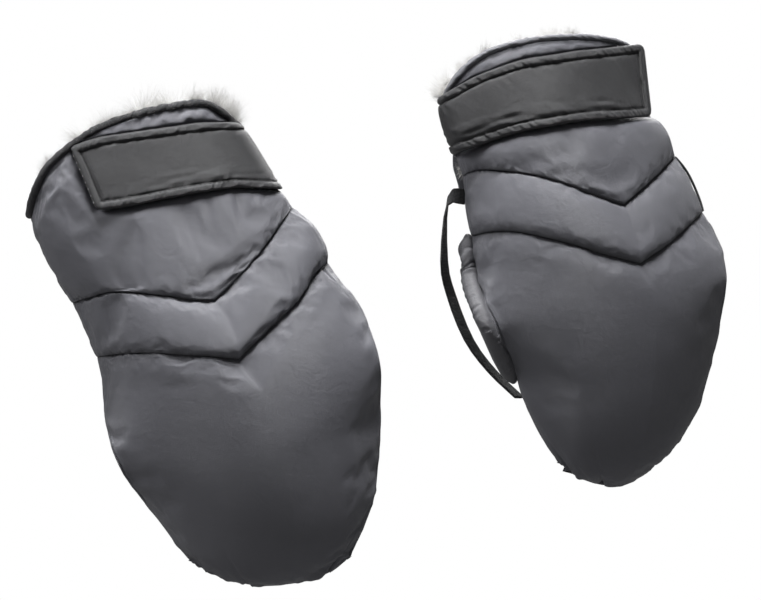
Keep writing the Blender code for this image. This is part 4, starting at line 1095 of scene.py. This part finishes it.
def strapLines(form, surfaces, shares, steps):
    # lines under the strap at shares of its width: over the front, round the inner side in a super-ellipse, onto the
    # back
    mitt = form["mitt"]
    (top, bottom, free), sign = strapEdges(mitt), mitt["innerSign"]
    rim = along(form["rimTop"], np.linspace(0, 1, 200))
    peak = int(np.argmax(rim[:, 1]))
    upper, lower = (rim[peak:], form["highSide"]) if sign > 0 else (rim[:peak + 1][::-1], form["lowSide"])
    outline = np.vstack([upper, lower[1:]])
    outline = outline[np.argsort(outline[:, 1])]
    level = np.linspace(0, 1, 9)[:, None]

    def height(x):
        return (1 - level) * np.interp(x, *top.T) + level * np.interp(x, *bottom.T)

    side = np.full_like(level, outline[-1, 0])
    for _ in range(8):
        # where the level meets the outline, found by going to and fro between them
        side = np.interp(height(side), outline[:, 1], outline[:, 0])
    turn = side - sign * strap["turn"]
    start = (1 - level) * top[free, 0] + level * bottom[free, 0]
    x = start + (turn - start) * np.linspace(0, 1, 60)[None]
    front = over(surfaces["front"], x, height(x), -strap["lift"])
    x = turn - sign * strap["tail"] * mitt["strapTail"] * np.linspace(0, 1, 20)[None]
    back = over(surfaces["back"], x, height(x), strap["lift"])
    angle = np.linspace(-np.pi / 2, np.pi / 2, 26)[None, 1:-1]
    x = turn + (side + sign * strap["stand"] - turn) * np.cos(angle) ** 0.65
    middle, half = (back[:, :1, 1] + front[:, -1:, 1]) / 2, (back[:, :1, 1] - front[:, -1:, 1]) / 2
    roundSide = np.stack([x, middle + half * np.sin(angle), height(x)], axis=-1)
    track = np.concatenate([front, roundSide, back], axis=1)
    even = track
    for _ in range(2):
        # each point becomes the mean of seven
        wider = np.concatenate([np.repeat(even[:, :1], 3, 1), even, np.repeat(even[:, -1:], 3, 1)], axis=1)
        even = sum(wider[:, k:k + track.shape[1]] for k in range(7)) / 7
        even[:, 0], even[:, -1] = track[:, 0], track[:, -1]
    # a cubic across the width through nine lines keeps the strap free of ribs
    cubic = np.linalg.lstsq(np.vander(level[:, 0], 4), even.reshape(9, -1), rcond=None)[0]
    lines = (np.vander(shares, 4) @ cubic).reshape(len(shares), -1, 3)
    return np.stack([along(line, np.linspace(0, 1, steps)) for line in lines])


def over(surface, x, z, least):
    # points on a surface, at least so far from the middle
    y = depthOver(surface, x, z)
    return np.stack([x, np.minimum(y, least) if least < 0 else np.maximum(y, least), z], axis=-1)


def offsetBand(mitt, lines, offset):
    # the band moved outwards in plan by a distance
    out = np.gradient(lines, axis=1)
    out = unit(np.stack([out[..., 1], -out[..., 0]], axis=-1)) * mitt["innerSign"]
    # at the free end it moves straight forwards, so that the end stays straight
    out[..., 0] *= ease(np.arange(lines.shape[1]) / 60)
    moved = lines.copy()
    moved[..., :2] += unit(out) * offset[..., None]
    return moved


def makeStrap(form, surfaces):
    # the strap: a flat padded middle, a stitch groove round it, and a puffy rolled border outside the groove. s runs
    # along it from the free end and d in from its nearest edge, both in mm
    mitt = form["mitt"]
    name, seed = mitt["name"], seedOf(mitt, "strap")
    lines = strapLines(form, surfaces, spacedShares(strap["levels"], 0.6), strap["steps"])
    flat = place(mitt, lines)
    length = arcLengths(flat, 1).mean(axis=0)[None]
    width = arcLengths(flat, 0) - arcLengths(flat, 0)[-1:] / 2
    corner, stitchIn = strap["corner"], strap["stitchIn"]
    # the free end's corners are rounded by drawing the levels together there
    nearEnd = np.clip(corner - length, 0, corner)
    half = np.abs(width).max(axis=0, keepdims=True)
    shrink = (half - corner + np.sqrt(np.maximum(corner**2 - nearEnd**2, 0))) / half
    middle = lines[strap["levels"] // 2][None]
    lines = middle + (lines - middle) * shrink[..., None]
    width = width * shrink
    edge = np.minimum(np.minimum(half * shrink - np.abs(width), length), length[0, -1] - length)
    # over the patches it lies higher and thicker, and eased is 0 there and 1 beyond them
    eased = ease((length - strap["patchLength"] - 2 * strap["patchMargin"]) / strap["patchLength"])
    stack = strap["patchGap"] + 2 * strap["tape"] + 2 * strap["touch"]
    under = stack + (strap["rest"] - stack) * eased
    inRoll = np.abs(edge / stitchIn * 2 - 1)
    roll = strap["border"] * (1 - 0.25 * eased) * np.sqrt(np.clip(1 - inRoll**3, 0, 1)) * (edge < stitchIn)
    groove = 1 - 0.85 * np.exp(-np.maximum(edge - stitchIn, 0) / (1.1 * mm))
    puff = np.maximum(roll, strap["middle"] * groove * (edge >= stitchIn))
    thick = puff + strap["cloth"] * (edge > 0.4 * mm)
    s, d, across = length / mm, edge / mm, width / mm
    slant = s + np.where(width > 0, -1, 1) * d * 0.7
    gathers = 0.8 * noise(slant / 2.1, d / 9, seed) + 0.7 * noise(slant / 5.2, d / 9, seed + 1)
    wave = strap["pucker"] * gathers * np.exp(-(((d - 3.6) / 2.4) ** 2))
    creases = noise(slant / 3.0, d / 16, seed + 4) * np.exp(-np.maximum(d - 6, 0) / 4)
    wave = wave + strap["crease"] * creases * (d > 5.8)
    swells = layered(s / 30, across / 30, seed + 2, 2) * rampUp(d, 8)
    soft = strap["swell"] * swells * (1 - 0.7 * eased)
    # long soft folds beside the lower border
    low = np.exp(-(((half - width) / mm - 11) / 4.5) ** 2) * rampUp(s - 24, 24)
    soft = soft + strap["fold"] * noise((s + 1.6 * across) / 13, across / 2.8, seed + 6) * low
    scallop = noise(s / 5.0, 0.5 + np.sign(width), seed + 3) * np.exp(-d / 2.5)
    scallop = strap["scallop"] * scallop * rampUp(s - 6, 8) * (1 - eased)
    lift = under + strap["wall"] / 2 * (1 - 0.35 * eased)
    outer = offsetBand(mitt, lines, lift + thick + wave * rampUp(d, 1.5) + soft)
    inner = offsetBand(mitt, lines, lift - np.minimum(puff, strap["wall"] / 2) * 0.95)
    outer[..., 2] -= np.sign(width) * scallop
    outer, inner = place(mitt, outer), place(mitt, inner)
    middleColumn = edge[:strap["levels"] // 2, strap["steps"] // 2]
    stitched = {
        "outer": outer, "normals": gridNormals(outer) * mitt["innerSign"],
        "column": int(np.argmax(length[0] > stitchIn)), "row": int(np.argmin(np.abs(middleColumn - stitchIn))),
    }
    # the seam mark along the stitch groove, for puckers and painted shade
    seamShadeAndPuckers = np.exp(-np.abs(edge - stitchIn) / (1.2 * mm))
    uv = np.stack([np.broadcast_to(length, width.shape), width], axis=-1)
    if mitt["inner"] == "low":
        outer, inner, uv, seamShadeAndPuckers = outer[:, ::-1], inner[:, ::-1], uv[:, ::-1], seamShadeAndPuckers[:, ::-1]
    piece = slabPiece(name + "CuffStrap", outer, inner, uv, {"seamShadeAndPuckers": seamShadeAndPuckers})
    dress(piece, "strap", None, (name + "_cuff_strap",))
    return piece, lines, length[0], stitched


def makeStrapStitches(mitt, stitched):
    # a topstitch round the border's inner side, with a second short row across the free end, and pale thread specks
    # along the free end's rim
    name, row, column = mitt["name"], stitched["row"], stitched["column"]
    rows, columns = slice(row, strap["levels"] - row), slice(column, strap["steps"] * 3 // 4)
    for label, some in (("Top", (row, columns)), ("Bottom", (strap["levels"] - 1 - row, columns)),
                        ("End", (rows, column)), ("Inner", (rows, column + 4))):
        stitchRow(name + "StrapStitches" + label, stitched["outer"][some], stitched["normals"][some],
                  name + "_strap", radius=strap["stitch"])
    rim = (slice(2, -2), 1)
    if mitt["hanger"] == "behind":
        stitchRow(name + "StrapEdgeStitches", stitched["outer"][rim], stitched["normals"][rim], name + "_strap",
                  length=1.0 * mm, pitch=4.6 * mm, radius=0.22 * mm, finish="paleThread")


# Elastic hem, webbing, flap and tapes

trims = {
    "elasticWidth": 8 * mm, "elasticWall": 1.8 * mm, "elasticTop": 44 * mm, "elasticBottom": 36 * mm,
    "elasticRoll": 3.0 * mm, "elasticBow": 3.4 * mm, "sewn": 12 * mm, "webWidth": 11 * mm, "webWall": 1.6 * mm,
    "hangerRise": 82 * mm, "hangerLap": 12 * mm, "twist": 0.95, "loopWall": 1.4 * mm, "loopStand": 3.2 * mm,
    "seat": 0.35 * mm, "intoSeam": 1.6 * mm, "loopShift": 7 * mm, "flapTop": 9 * mm, "flapBottom": 22 * mm,
    "flapWall": 1.6 * mm, "flapSide": 0.16, "flapLift": 3.45 * mm, "flapStitch": 5 * mm, "tapeHeight": 16 * mm,
    "tapeWall": 1.2 * mm, "hookSeat": 1.9 * mm,
}


def sideLine(form, high):
    # the side seam from the rim to the toe
    return form["highSide" if high else "lowSide"]


def sidePoint(form, high, heights):
    # points of a side seam at heights above the tube's crossing, with the seam's outward way and depth
    line = sideLine(form, high)
    line = line[np.argsort(line[:, 1])]
    x = np.interp(heights, line[:, 1], line[:, 0])
    step = 4 * trims["elasticWall"]
    slope = np.interp(heights + step, line[:, 1], line[:, 0]) - x
    way = unit(np.stack([np.full_like(x, step), -slope], axis=-1) * (1 if high else -1))
    flat = np.stack([x, heights], axis=-1)
    return flat, way, edgeDepth(form["mitt"], flat)


def crossingHeight(form, high):
    # the height at which the tube's axis crosses a side seam
    line = sideLine(form, high)
    return float(line[np.argmin(np.abs(tubeDistance(form["mitt"], line))), 1])


def makeElastic(form):
    # a gathered roll: an oval tube along the seam whose radii pinch and swell at each gather
    mitt = form["mitt"]
    name, seed, high = mitt["name"], seedOf(mitt, "elastic"), mitt["inner"] == "high"
    level, share = crossingHeight(form, high), mitt["elasticOut"]
    heights = np.linspace(level + trims["elasticTop"] + mitt["elasticMore"], level - trims["elasticBottom"], 90)
    flat, way, edge = sidePoint(form, high, heights)
    out, rear = trims["elasticWidth"] * share, trims["elasticWidth"] * (1 - share**2) ** 0.5
    bow = trims["elasticBow"] * np.sin(np.pi * np.linspace(0, 1, len(heights))[:, None]) ** 0.4
    near = flat + way * (out * 0.5 + (bow - 2.6 * mm if share > 0.5 else -8.0 * mm))
    path = placed(mitt, near[:, 0], edge + pair["seamGap"] + rear * 0.5 + 0.6 * mm, near[:, 1])
    path[:, 0] += 0.5 * mm * noise(heights / (14 * mm), 0.5, seed)

    def gathers(length, angle):
        # deep pinched folds at the upper end, a smooth roll below them, and fine gathers beside the front panel's seam
        t, wave = length / mm, np.sin(angle)
        upper = np.exp(-(((t - 12) / 16) ** 2))
        pinch = np.abs(noise(t / 4.2 + 1.1 * wave, 0.3 + angle / 3, seed + 1)) - 0.35
        fine = noise(t / 2.0 + 0.7 * wave, angle / 2, seed + 3) * np.clip(np.cos(angle), 0, 1)
        slow = noise(t / 16, angle / 2.5, seed + 2)
        return 0.08 * slow + 0.42 * pinch * upper + (0.12 + 0.08 * fine) * (1 - upper)

    deep, wide = (max(size * 0.5, trims["elasticRoll"]) for size in (rear, out))
    grid, uv = tubeAlong(path, deep + 1.8 * mm, wide + 2.2 * mm, 420, 28, gathers, cap=40)
    dress(ringPiece(name + "SideElastic", grid, uv), "elastic", name + "_mitt", (name + "_side_elastic",))


def makeBand(name, path, widthWays, width, wall):
    # a woven band: its section is a flat super-ellipse that stands along the given width ways
    half = unit(widthWays) * width / 2
    across = unit(np.cross(np.gradient(path, axis=0), half)) * wall / 2
    angle = np.linspace(0, 2 * np.pi, 48, endpoint=False)
    c, s = (np.sign(wave) * np.abs(wave) ** 0.45 for wave in (np.cos(angle), np.sin(angle)))
    grid = path[:, None] + half[:, None] * c[None, :, None] + across[:, None] * s[None, :, None]
    uv = np.stack(np.broadcast_arrays(c[None] * width / 2, arcLengths(path, 0)[:, None]), axis=-1)
    for end in (0, -1):
        grid[end] = path[end] + (grid[end] - path[end]) * 0.02
    return ringPiece(name, grid, uv)


def hangerPath(form):
    # the right mitt's webbing: out of the inner seam, down beside the mitt and behind the tube, to the pouch's side
    mitt = form["mitt"]
    level, width, wall = crossingHeight(form, mitt["inner"] == "high"), trims["webWidth"], trims["webWall"]
    clear, out = trims["seat"] + wall / 2, trims["elasticWidth"] + width
    behind = tube["radius"] + tube["room"] + wall
    heights = level + np.array([
        trims["hangerRise"], trims["hangerRise"] - width / 4, trims["hangerRise"] / 2, tube["radius"],
        -tube["radius"] / 2, -tube["below"], -trims["elasticBottom"] - width,
    ])
    away = np.array([clear - trims["intoSeam"], out * 0.6, out, out, out, out * 0.7, clear])
    depth = np.array([0, width / 4, behind / 2, behind, behind + wall, behind * 0.9, behind / 2])
    flat = sidePoint(form, mitt["inner"] == "high", heights)[0]
    return smoothLine(np.column_stack([flat[:, 0] + mitt["innerSign"] * away, depth, heights]), 3)


def flapPoints(form, surfaces, heights, shares):
    # points on the back at heights square to the tube and shares of the pouch's upper edge
    turn = form["mitt"]["tubeTurn"]
    ways = np.array([math.cos(turn), math.sin(turn)]), np.array([-math.sin(turn), math.cos(turn)])
    ends = coons(form["pouchBack"], np.array([0.0, 1.0]), np.zeros(2)) @ ways[0]
    flat = ways[0] * (ends[0] + (ends[1] - ends[0]) * shares)[None, :, None] + ways[1] * heights[:, None, None]
    return flat, depthOver(surfaces["back"], flat[..., 0], flat[..., 1])


def makeHanger(form, surfaces):
    # the webbing that the mitt hangs by: beside the mitt, or on its back where the photograph hides it
    mitt = form["mitt"]
    name, steps = mitt["name"], 160 if mitt["hanger"] == "beside" else 120
    share = np.linspace(0, 1, steps)
    if mitt["hanger"] == "beside":
        path = along(hangerPath(form), share)
        # its face shows where it leaves the seam, then it turns edge on, and slowly face on again
        twist, leaving = ease(share / 0.6), ease(1 - share / 0.16)
        aside = -mitt["innerSign"] * trims["twist"] * twist * (1 - leaving)
        ways = np.column_stack([aside, 1 - 0.8 * leaving, 0.9 * leaving])
    else:
        heights = np.linspace(tube["above"] + trims["hangerLap"], -tube["below"] - trims["hangerLap"], 60)
        start, width = trims["flapSide"] - 0.7 * mm / pair["width"], trims["webWidth"] / pair["width"]
        shares = np.array([start - width, start] if mitt["inner"] == "low" else [1 - start, 1 - start + width])
        flat, depth = flapPoints(form, surfaces, heights, shares)
        both = np.stack([flat[..., 0], depth + trims["tapeWall"], flat[..., 1]], axis=-1)
        path, ways = along(both.mean(axis=1), share), along(both[:, 1] - both[:, 0], share)
    line = place(mitt, path)
    piece = makeBand(name + "HangerWebbing", line, place(mitt, path + unit(ways) * mm) - line,
                     trims["webWidth"], trims["webWall"])
    dress(piece, "webbing", None, (name + "_hanger_webbing",))
    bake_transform(piece)


def makeSideLoop(form):
    # the short loop of webbing on the side away from the other mitt
    mitt = form["mitt"]
    name, high = mitt["name"], mitt["inner"] == "low"
    ends, rearward = mitt["highSide" if high else "lowSide"][1], mitt["loopBack"] > 0.5
    heights = np.linspace(ends[0][1], ends[-1][1], 60) * pair["length"]
    flat, way, edge = sidePoint(form, high, heights)
    seat = trims["seat"] + trims["loopWall"] / 2 if rearward else 2 * trims["seat"] + trims["loopWall"]
    bow = 0.5 * trims["loopStand"] * np.sin(np.pi * np.linspace(0, 1, 60)) ** 0.5
    near = flat + way * (seat - trims["intoSeam"] + bow)[:, None]
    path = placed(mitt, near[:, 0], edge + trims["webWidth"] * mitt["loopBack"], near[:, 1])
    if rearward:
        # behind the seam the loop lies on the back panel, whose side runs in
        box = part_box(name + "_side_loop")
        shift = (box[0][0] + box[1][0]) / 2 - (path[:, 0].min() + path[:, 0].max()) / 2
        path[:, 0] += shift + mitt["innerSign"] * trims["loopShift"]
    piece = makeBand(name + "SideLoop", path, np.tile([0.0, 1.0, 0.0], (60, 1)), trims["webWidth"], trims["loopWall"])
    dress(piece, "webbing", name + "_mitt", (name + "_side_loop",))


def makeFlap(form, surfaces):
    # the flap over the back of the tube: a thin padded sheet on the back's own curve, with a stitched edge, pile under
    # it, and its two tapes
    mitt = form["mitt"]
    name, seed = mitt["name"], seedOf(mitt, "flap")
    side, length = trims["flapSide"], 1 - 2 * trims["flapSide"]
    top, bottom = tube["above"] + trims["flapTop"], -tube["below"] - trims["flapBottom"]
    heights = top + (bottom - top) * spacedShares(80, 0.6)
    flat, depth = flapPoints(form, surfaces, heights, side + length * spacedShares(90, 0.6))
    rise = ease((top - heights) / top)[:, None]
    under = trims["seat"] * (1 - rise) + trims["flapLift"] * rise

    def at(offset):
        return placed(mitt, flat[..., 0], depth + offset, flat[..., 1])

    base = at(under)
    s, t = arcLengths(base, 1), arcLengths(base, 0)
    edge = np.minimum(np.minimum(s, s[:, -1:] - s), np.minimum(t, t[-1:] - t))
    stitch = (edge - trims["flapStitch"]) / mm
    puff = 0.9 * mm * ease(edge / (7 * mm)) - 0.5 * mm * np.exp(-((stitch / 0.9) ** 2))
    folds = 0.8 * mm * layered(s / mm / 30, t / mm / 30, seed, 3) * ease(edge / (10 * mm))
    gather = 0.5 * mm * noise(s / mm / 5, edge / mm / 9, seed + 1) * np.exp(-edge / (6 * mm))
    rounded = trims["flapWall"] * np.sqrt(np.clip(edge / (1.6 * mm), 0, 1))
    outer = at(under + rounded + puff + np.maximum(folds + gather, -0.4 * mm))
    # the seam mark along the stitch line, for puckers and painted shade
    seamShadeAndPuckers = np.exp(-np.abs(stitch) / 1.2)
    piece = slabPiece(name + "BackFlap", base, outer, np.stack([s, t], axis=-1), {"seamShadeAndPuckers": seamShadeAndPuckers}, flip=True)
    dress(piece, "shell", name + "_flap", (name + "_back_flap_shell",))
    lined = (heights < tube["above"] - 3 * mm) & (heights > -tube["below"] + 9 * mm)
    cover, deep = (at(under - trims["seat"] - wall)[lined][:, 8:-8] for wall in (0, pair["pile"]))
    piece = slabPiece(name + "FlapPile", cover, tufted(deep, seed + 2, -0.7), flip=True)
    dress(piece, "pile", name + "_flap", (name + "_back_flap_pile",))
    middle = -tube["below"] - trims["flapBottom"] / 2 - trims["seat"]
    levels = middle + trims["tapeHeight"] * np.linspace(0.5, -0.5, 14)
    flat, depth = flapPoints(form, surfaces, levels, side + length * np.linspace(1 / 8, 7 / 8, 60))
    for label, near, body, node in (
        ("PouchLoopTape", trims["seat"], "_mitt", "_pouch_loop_tape"),
        ("FlapHookTape", trims["hookSeat"], "_flap", "_flap_hook_tape"),
    ):
        piece = slabPiece(name + label, at(near + trims["tapeWall"]), at(near), flip=True)
        dress(piece, "tape", name + body, (name + node,))


def makePatches(mitt, lines, length):
    # the hook patch under the strap's free end, and the loop patch under it on the cuff
    name, start, tape = mitt["name"], strap["patchMargin"], strap["tape"]
    some = lines[8:-8][:, (length > start) & (length < start + strap["patchLength"])]
    for label, near, body, node in (
        ("CuffLoopPatch", 0, "_mitt", "_cuff_loop_patch"),
        ("StrapHookPatch", tape + strap["touch"], "_strap", "_strap_hook_patch"),
    ):
        inner, outer = (place(mitt, offsetBand(mitt, some, np.full(some.shape[:2], strap["patchGap"] + near + wall)))
                        for wall in (0, tape))
        piece = slabPiece(name + label, outer, inner, flip=mitt["inner"] == "low")
        dress(piece, "tape", name + body, (name + node,))


# Pile hairs and stitches

hairs = {
    "perMitt": 11000, "rings": 4, "radius": 0.105 * mm, "length": (6 * mm, 15 * mm), "perTuft": 420,
    # how far each hair's own way and its curl stray, and how strongly it bends
    "stray": 0.35, "curl": 0.45, "bend": 0.55,
}


def makeHairs(name, roots, ways, lengths, seed, body):
    # tapered three-sided hairs: each bends from its own way towards a curl that its neighbours share
    random, count = np.random.default_rng(seed), len(roots)
    t = np.linspace(0, 1, hairs["rings"])[None, :, None]
    clump = np.stack([noise(roots[:, 0] / (6 * mm), roots[:, 2] / (6 * mm), seed + k) for k in (1, 2, 3)], axis=-1)
    bend = unit(clump * 1.3 + random.normal(0, hairs["curl"], (count, 3)))
    way = unit(ways + 0.5 * bend)
    line = roots[:, None] + (way[:, None] * t + hairs["bend"] * bend[:, None] * t**2) * lengths[:, None, None]
    side = unit(np.cross(way, random.normal(0, 1, (count, 3))))
    angle = np.arange(3)[None, None, :] * 2 * np.pi / 3
    thin = hairs["radius"] * (1 - 0.85 * t)
    ring = (np.cos(angle) * thin)[..., None] * side[:, None, None]
    ring = ring + (np.sin(angle) * thin)[..., None] * np.cross(way, side)[:, None, None]
    dress(strandPiece(name, line, ring), "pile", body)


def makeRimPile(form):
    # hairs rooted inside the rim's binding, standing up and over it
    mitt = form["mitt"]
    name, seed = mitt["name"], seedOf(mitt, "rimPile")
    random, paths = np.random.default_rng(seed), cuffPath(form, np.linspace(0, 1, 160))
    for label, path, inward, count in (("Front", paths[0], 1, 0.55), ("Back", paths[1], -1, 0.45)):
        number = int(hairs["perMitt"] * count)
        share, layer = random.uniform(0, 0.8, number), random.uniform(0, 1, number)
        roots = along(path, share)
        roots[:, 1] += inward * (3.4 + 4.5 * layer) * mm
        roots[:, 2] -= (2 + 5 * layer * random.uniform(0, 1, number)) * mm
        aside = random.normal(0, hairs["stray"], number)
        ways = np.column_stack([aside, -inward * random.uniform(-0.5, 0.35, number), np.ones(number)])
        lengths = random.uniform(*hairs["length"], number) * mitt["hairShare"]
        lengths = lengths * (0.9 + 0.4 * noise(share * 13, 0.5, seed + 5))
        lengths = lengths * (1 - 0.5 * ease((share - 0.55) / 0.25)) * (0.6 + 0.4 * ease(share / 0.14))
        makeHairs(name + label + "RimPile", place(mitt, roots), unit(ways), lengths, seed + 7, name + "_mitt")


def makeTufts(form):
    # pile that shows at the slit on the inner side: above the strap at the rim's end, and below the strap
    mitt, number = form["mitt"], hairs["perTuft"]
    name, seed = mitt["name"], seedOf(mitt, "tufts")
    random = np.random.default_rng(seed)
    upper = along(form["rimTop"], random.uniform(0, 0.13, number))
    flat, way, edge = sidePoint(form, False, random.uniform(85 * mm, 93 * mm, number))
    upperDepth = edgeDepth(mitt, upper) + random.uniform(0, 8 * mm, number)
    lowerDepth = edge + random.uniform(-1 * mm, 4 * mm, number)
    for label, at, depth, ways, length in (
        ("Upper", upper, upperDepth, (-1, 0.1, 0.3), 9 * mm),
        ("Lower", flat - way * 2.5 * mm, lowerDepth, (-0.9, -0.5, -0.2), 6 * mm),
    ):
        ways = unit(np.array(ways) + random.normal(0, hairs["stray"], (number, 3)))
        lengths = length * random.uniform(0.5, 1, number)
        makeHairs(name + label + "Tuft", placed(mitt, at[:, 0], depth, at[:, 1]), ways, lengths, seed + 1,
                  name + "_mitt")


def stitchRow(name, path, normals, body, length=2.4 * mm, pitch=3.3 * mm, radius=0.24 * mm, finish="thread"):
    # a row of short stitches: each a bowed four-sided thread whose ends dive into the cloth
    total = arcLengths(path, 0)[-1]
    count = max(2, int(total / pitch))
    t = np.linspace(-0.5, 0.5, 5)
    share = ((np.arange(count) + 0.5) / count)[:, None] + t[None] * length / total
    line, out = along(path, share), unit(along(normals, share))
    side = unit(np.cross(unit(np.gradient(line, axis=1)), out))
    line = line + out * radius * (1 - 1.6 * (2 * t) ** 2)[None, :, None]
    angle = (np.arange(4) * np.pi / 2)[None, None, :, None]
    ring = (side[:, :, None] * np.cos(angle) + out[:, :, None] * np.sin(angle)) * radius
    dress(strandPiece(name, line, ring), finish, body)


# The two mitts

def makeSurfaces(form):
    # smooth front and back of one mitt, carried on above the rim, for what lies on them to be fitted to
    across, rows = spacedShares(70, 0.6), frontRows((24, 16, 40))
    front = frontSheet(form, across, rows)
    cuff, pouch = (backSheet(form, part, across, np.linspace(0, 1, 34)) for part in ("cuffBack", "pouchBack"))
    bridge = cuff[-1] + (pouch[0] - cuff[-1]) * np.linspace(0, 1, 18)[1:-1, None, None]
    up = along(form["rimTop"], across) - along(form["rim"], across)
    up = np.column_stack([up[:, 0], np.zeros(len(up)), up[:, 1]])[None]
    lift = np.array([0, 0, 11.2 * mm])
    return {
        "front": np.concatenate([front[:1] + up + lift, front[:1] + up, front]),
        "back": np.concatenate([cuff[:1] + up + lift, cuff[:1] + up, cuff, bridge, pouch]),
    }


def makeMitt(mitt):
    # one mitt from the shells to the stitches
    name, form = mitt["name"], makeForm(mitt)
    surfaces, front = makeSurfaces(form), makeFront(form)
    print(name, "front", round(time.time() - started, 1))
    makeBack(form, "cuffBack", "CuffBack")
    makeBack(form, "pouchBack", "PouchBack")
    makeLining(form)
    makeBindings(form)
    piece, lines, length, stitched = makeStrap(form, surfaces)
    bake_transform(piece)
    makeStrapStitches(mitt, stitched)
    makePatches(mitt, lines, length)
    makeElastic(form)
    makeHanger(form, surfaces)
    makeSideLoop(form)
    makeFlap(form, surfaces)
    makeRimPile(form)
    if mitt["inner"] == "low":
        makeTufts(form)
    for k, row in enumerate(front["rows"]):
        stitchRow(name + "QuiltStitches" + str(k + 1), front["grid"][row, 3:-3], front["normals"][row, 3:-3],
                  name + "_mitt")
    print(name, "strap", round(time.time() - started, 1))


makeMitt(left)
makeMitt(right)


# Floor, light and camera

studio = {
    "floorSize": 2.2, "floorBelow": 0.15, "floorGlow": 0.4, "roomLight": 0.09, "aim": (0, 0, 0.03),
    # place, diameter in metres and power in watts of each lamp
    "lamps": {
        "keyLamp": ((-0.10, -0.48, 2.4), 1.0, 117.0), "sideLamp": ((-1.75, -0.5, 1.3), 1.0, 22.0),
        "backLamp": ((0.3, 2.2, 1.5), 1.6, 40.0),
    },
    # distance, sensor's width and the width of the view at the pair
    "distance": 5.0, "sensor": 36.0, "viewWidth": 0.487, "across": -0.0291, "up": 0.0371,
}


def makeStudio():
    # a pale floor under the pair, shown white to the camera, a large soft lamp above the front, a weak one beside it
    # and one behind
    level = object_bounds()[0][2] - studio["floorBelow"]
    corners = np.array([[-1, -1, 0], [1, -1, 0], [1, 1, 0], [-1, 1, 0]]) * studio["floorSize"]
    floor = meshPiece("studioFloor", corners + np.array([0, 0, level]), np.array([[0, 1, 2, 3]]))
    pale = bpy.data.materials.new("paleFloor")
    pale.use_nodes = True
    tree = pale.node_tree
    byCamera, given = add(tree, "LightPath").outputs["Is Camera Ray"], tree.nodes["Principled BSDF"].inputs
    shown = add(tree, "Mix", {"Factor": byCamera}, data_type="RGBA")
    shown.inputs[6].default_value, shown.inputs[7].default_value = (0.10, 0.10, 0.10, 1), (0.85, 0.85, 0.85, 1)
    tree.links.new(shown.outputs[2], given["Base Color"])
    tree.links.new(sums(tree, "MULTIPLY", byCamera, studio["floorGlow"]), given["Emission Strength"])
    given["Emission Color"].default_value, given["Roughness"].default_value = (1, 1, 1, 1), 0.9
    floor.data.materials.append(pale)
    for name, (spot, size, power) in studio["lamps"].items():
        lamp = bpy.data.lights.new(name, "AREA")
        lamp.shape, lamp.size, lamp.energy = "DISK", size, power
        thing = bpy.data.objects.new(name, lamp)
        thing.location = spot
        thing.rotation_euler = (Vector(studio["aim"]) - Vector(spot)).to_track_quat("-Z", "Y").to_euler()
        bpy.context.scene.collection.objects.link(thing)
    # the room is white to the camera and gives a little light
    world = bpy.data.worlds.new("paleRoom")
    world.use_nodes = True
    tree = world.node_tree
    tree.nodes.clear()
    room, white = (add(tree, "Background", {"Color": (1, 1, 1, 1), "Strength": strength}).outputs[0]
                   for strength in (studio["roomLight"], 1.0))
    mix = add(tree, "MixShader", {0: add(tree, "LightPath").outputs["Is Camera Ray"], 1: room, 2: white})
    tree.links.new(mix.outputs[0], add(tree, "OutputWorld").inputs["Surface"])
    bpy.context.scene.world = world
    bpy.context.scene.view_settings.view_transform = "Standard"


def makeCamera():
    # level with the pair and square to it, from far away through a long lens, as the photograph shows it
    lens = bpy.data.cameras.new("photoCamera")
    lens.sensor_width, lens.lens = studio["sensor"], studio["distance"] * studio["sensor"] / studio["viewWidth"]
    lens.clip_end = 50.0
    camera = bpy.data.objects.new("photoCamera", lens)
    camera.location = studio["across"], -studio["distance"], studio["up"]
    camera.rotation_euler = math.pi / 2, 0, 0
    bpy.context.scene.collection.objects.link(camera)
    bpy.context.scene.camera = camera


makeCamera()
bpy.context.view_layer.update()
makeStudio()
print("made in", round(time.time() - started, 1), "s")
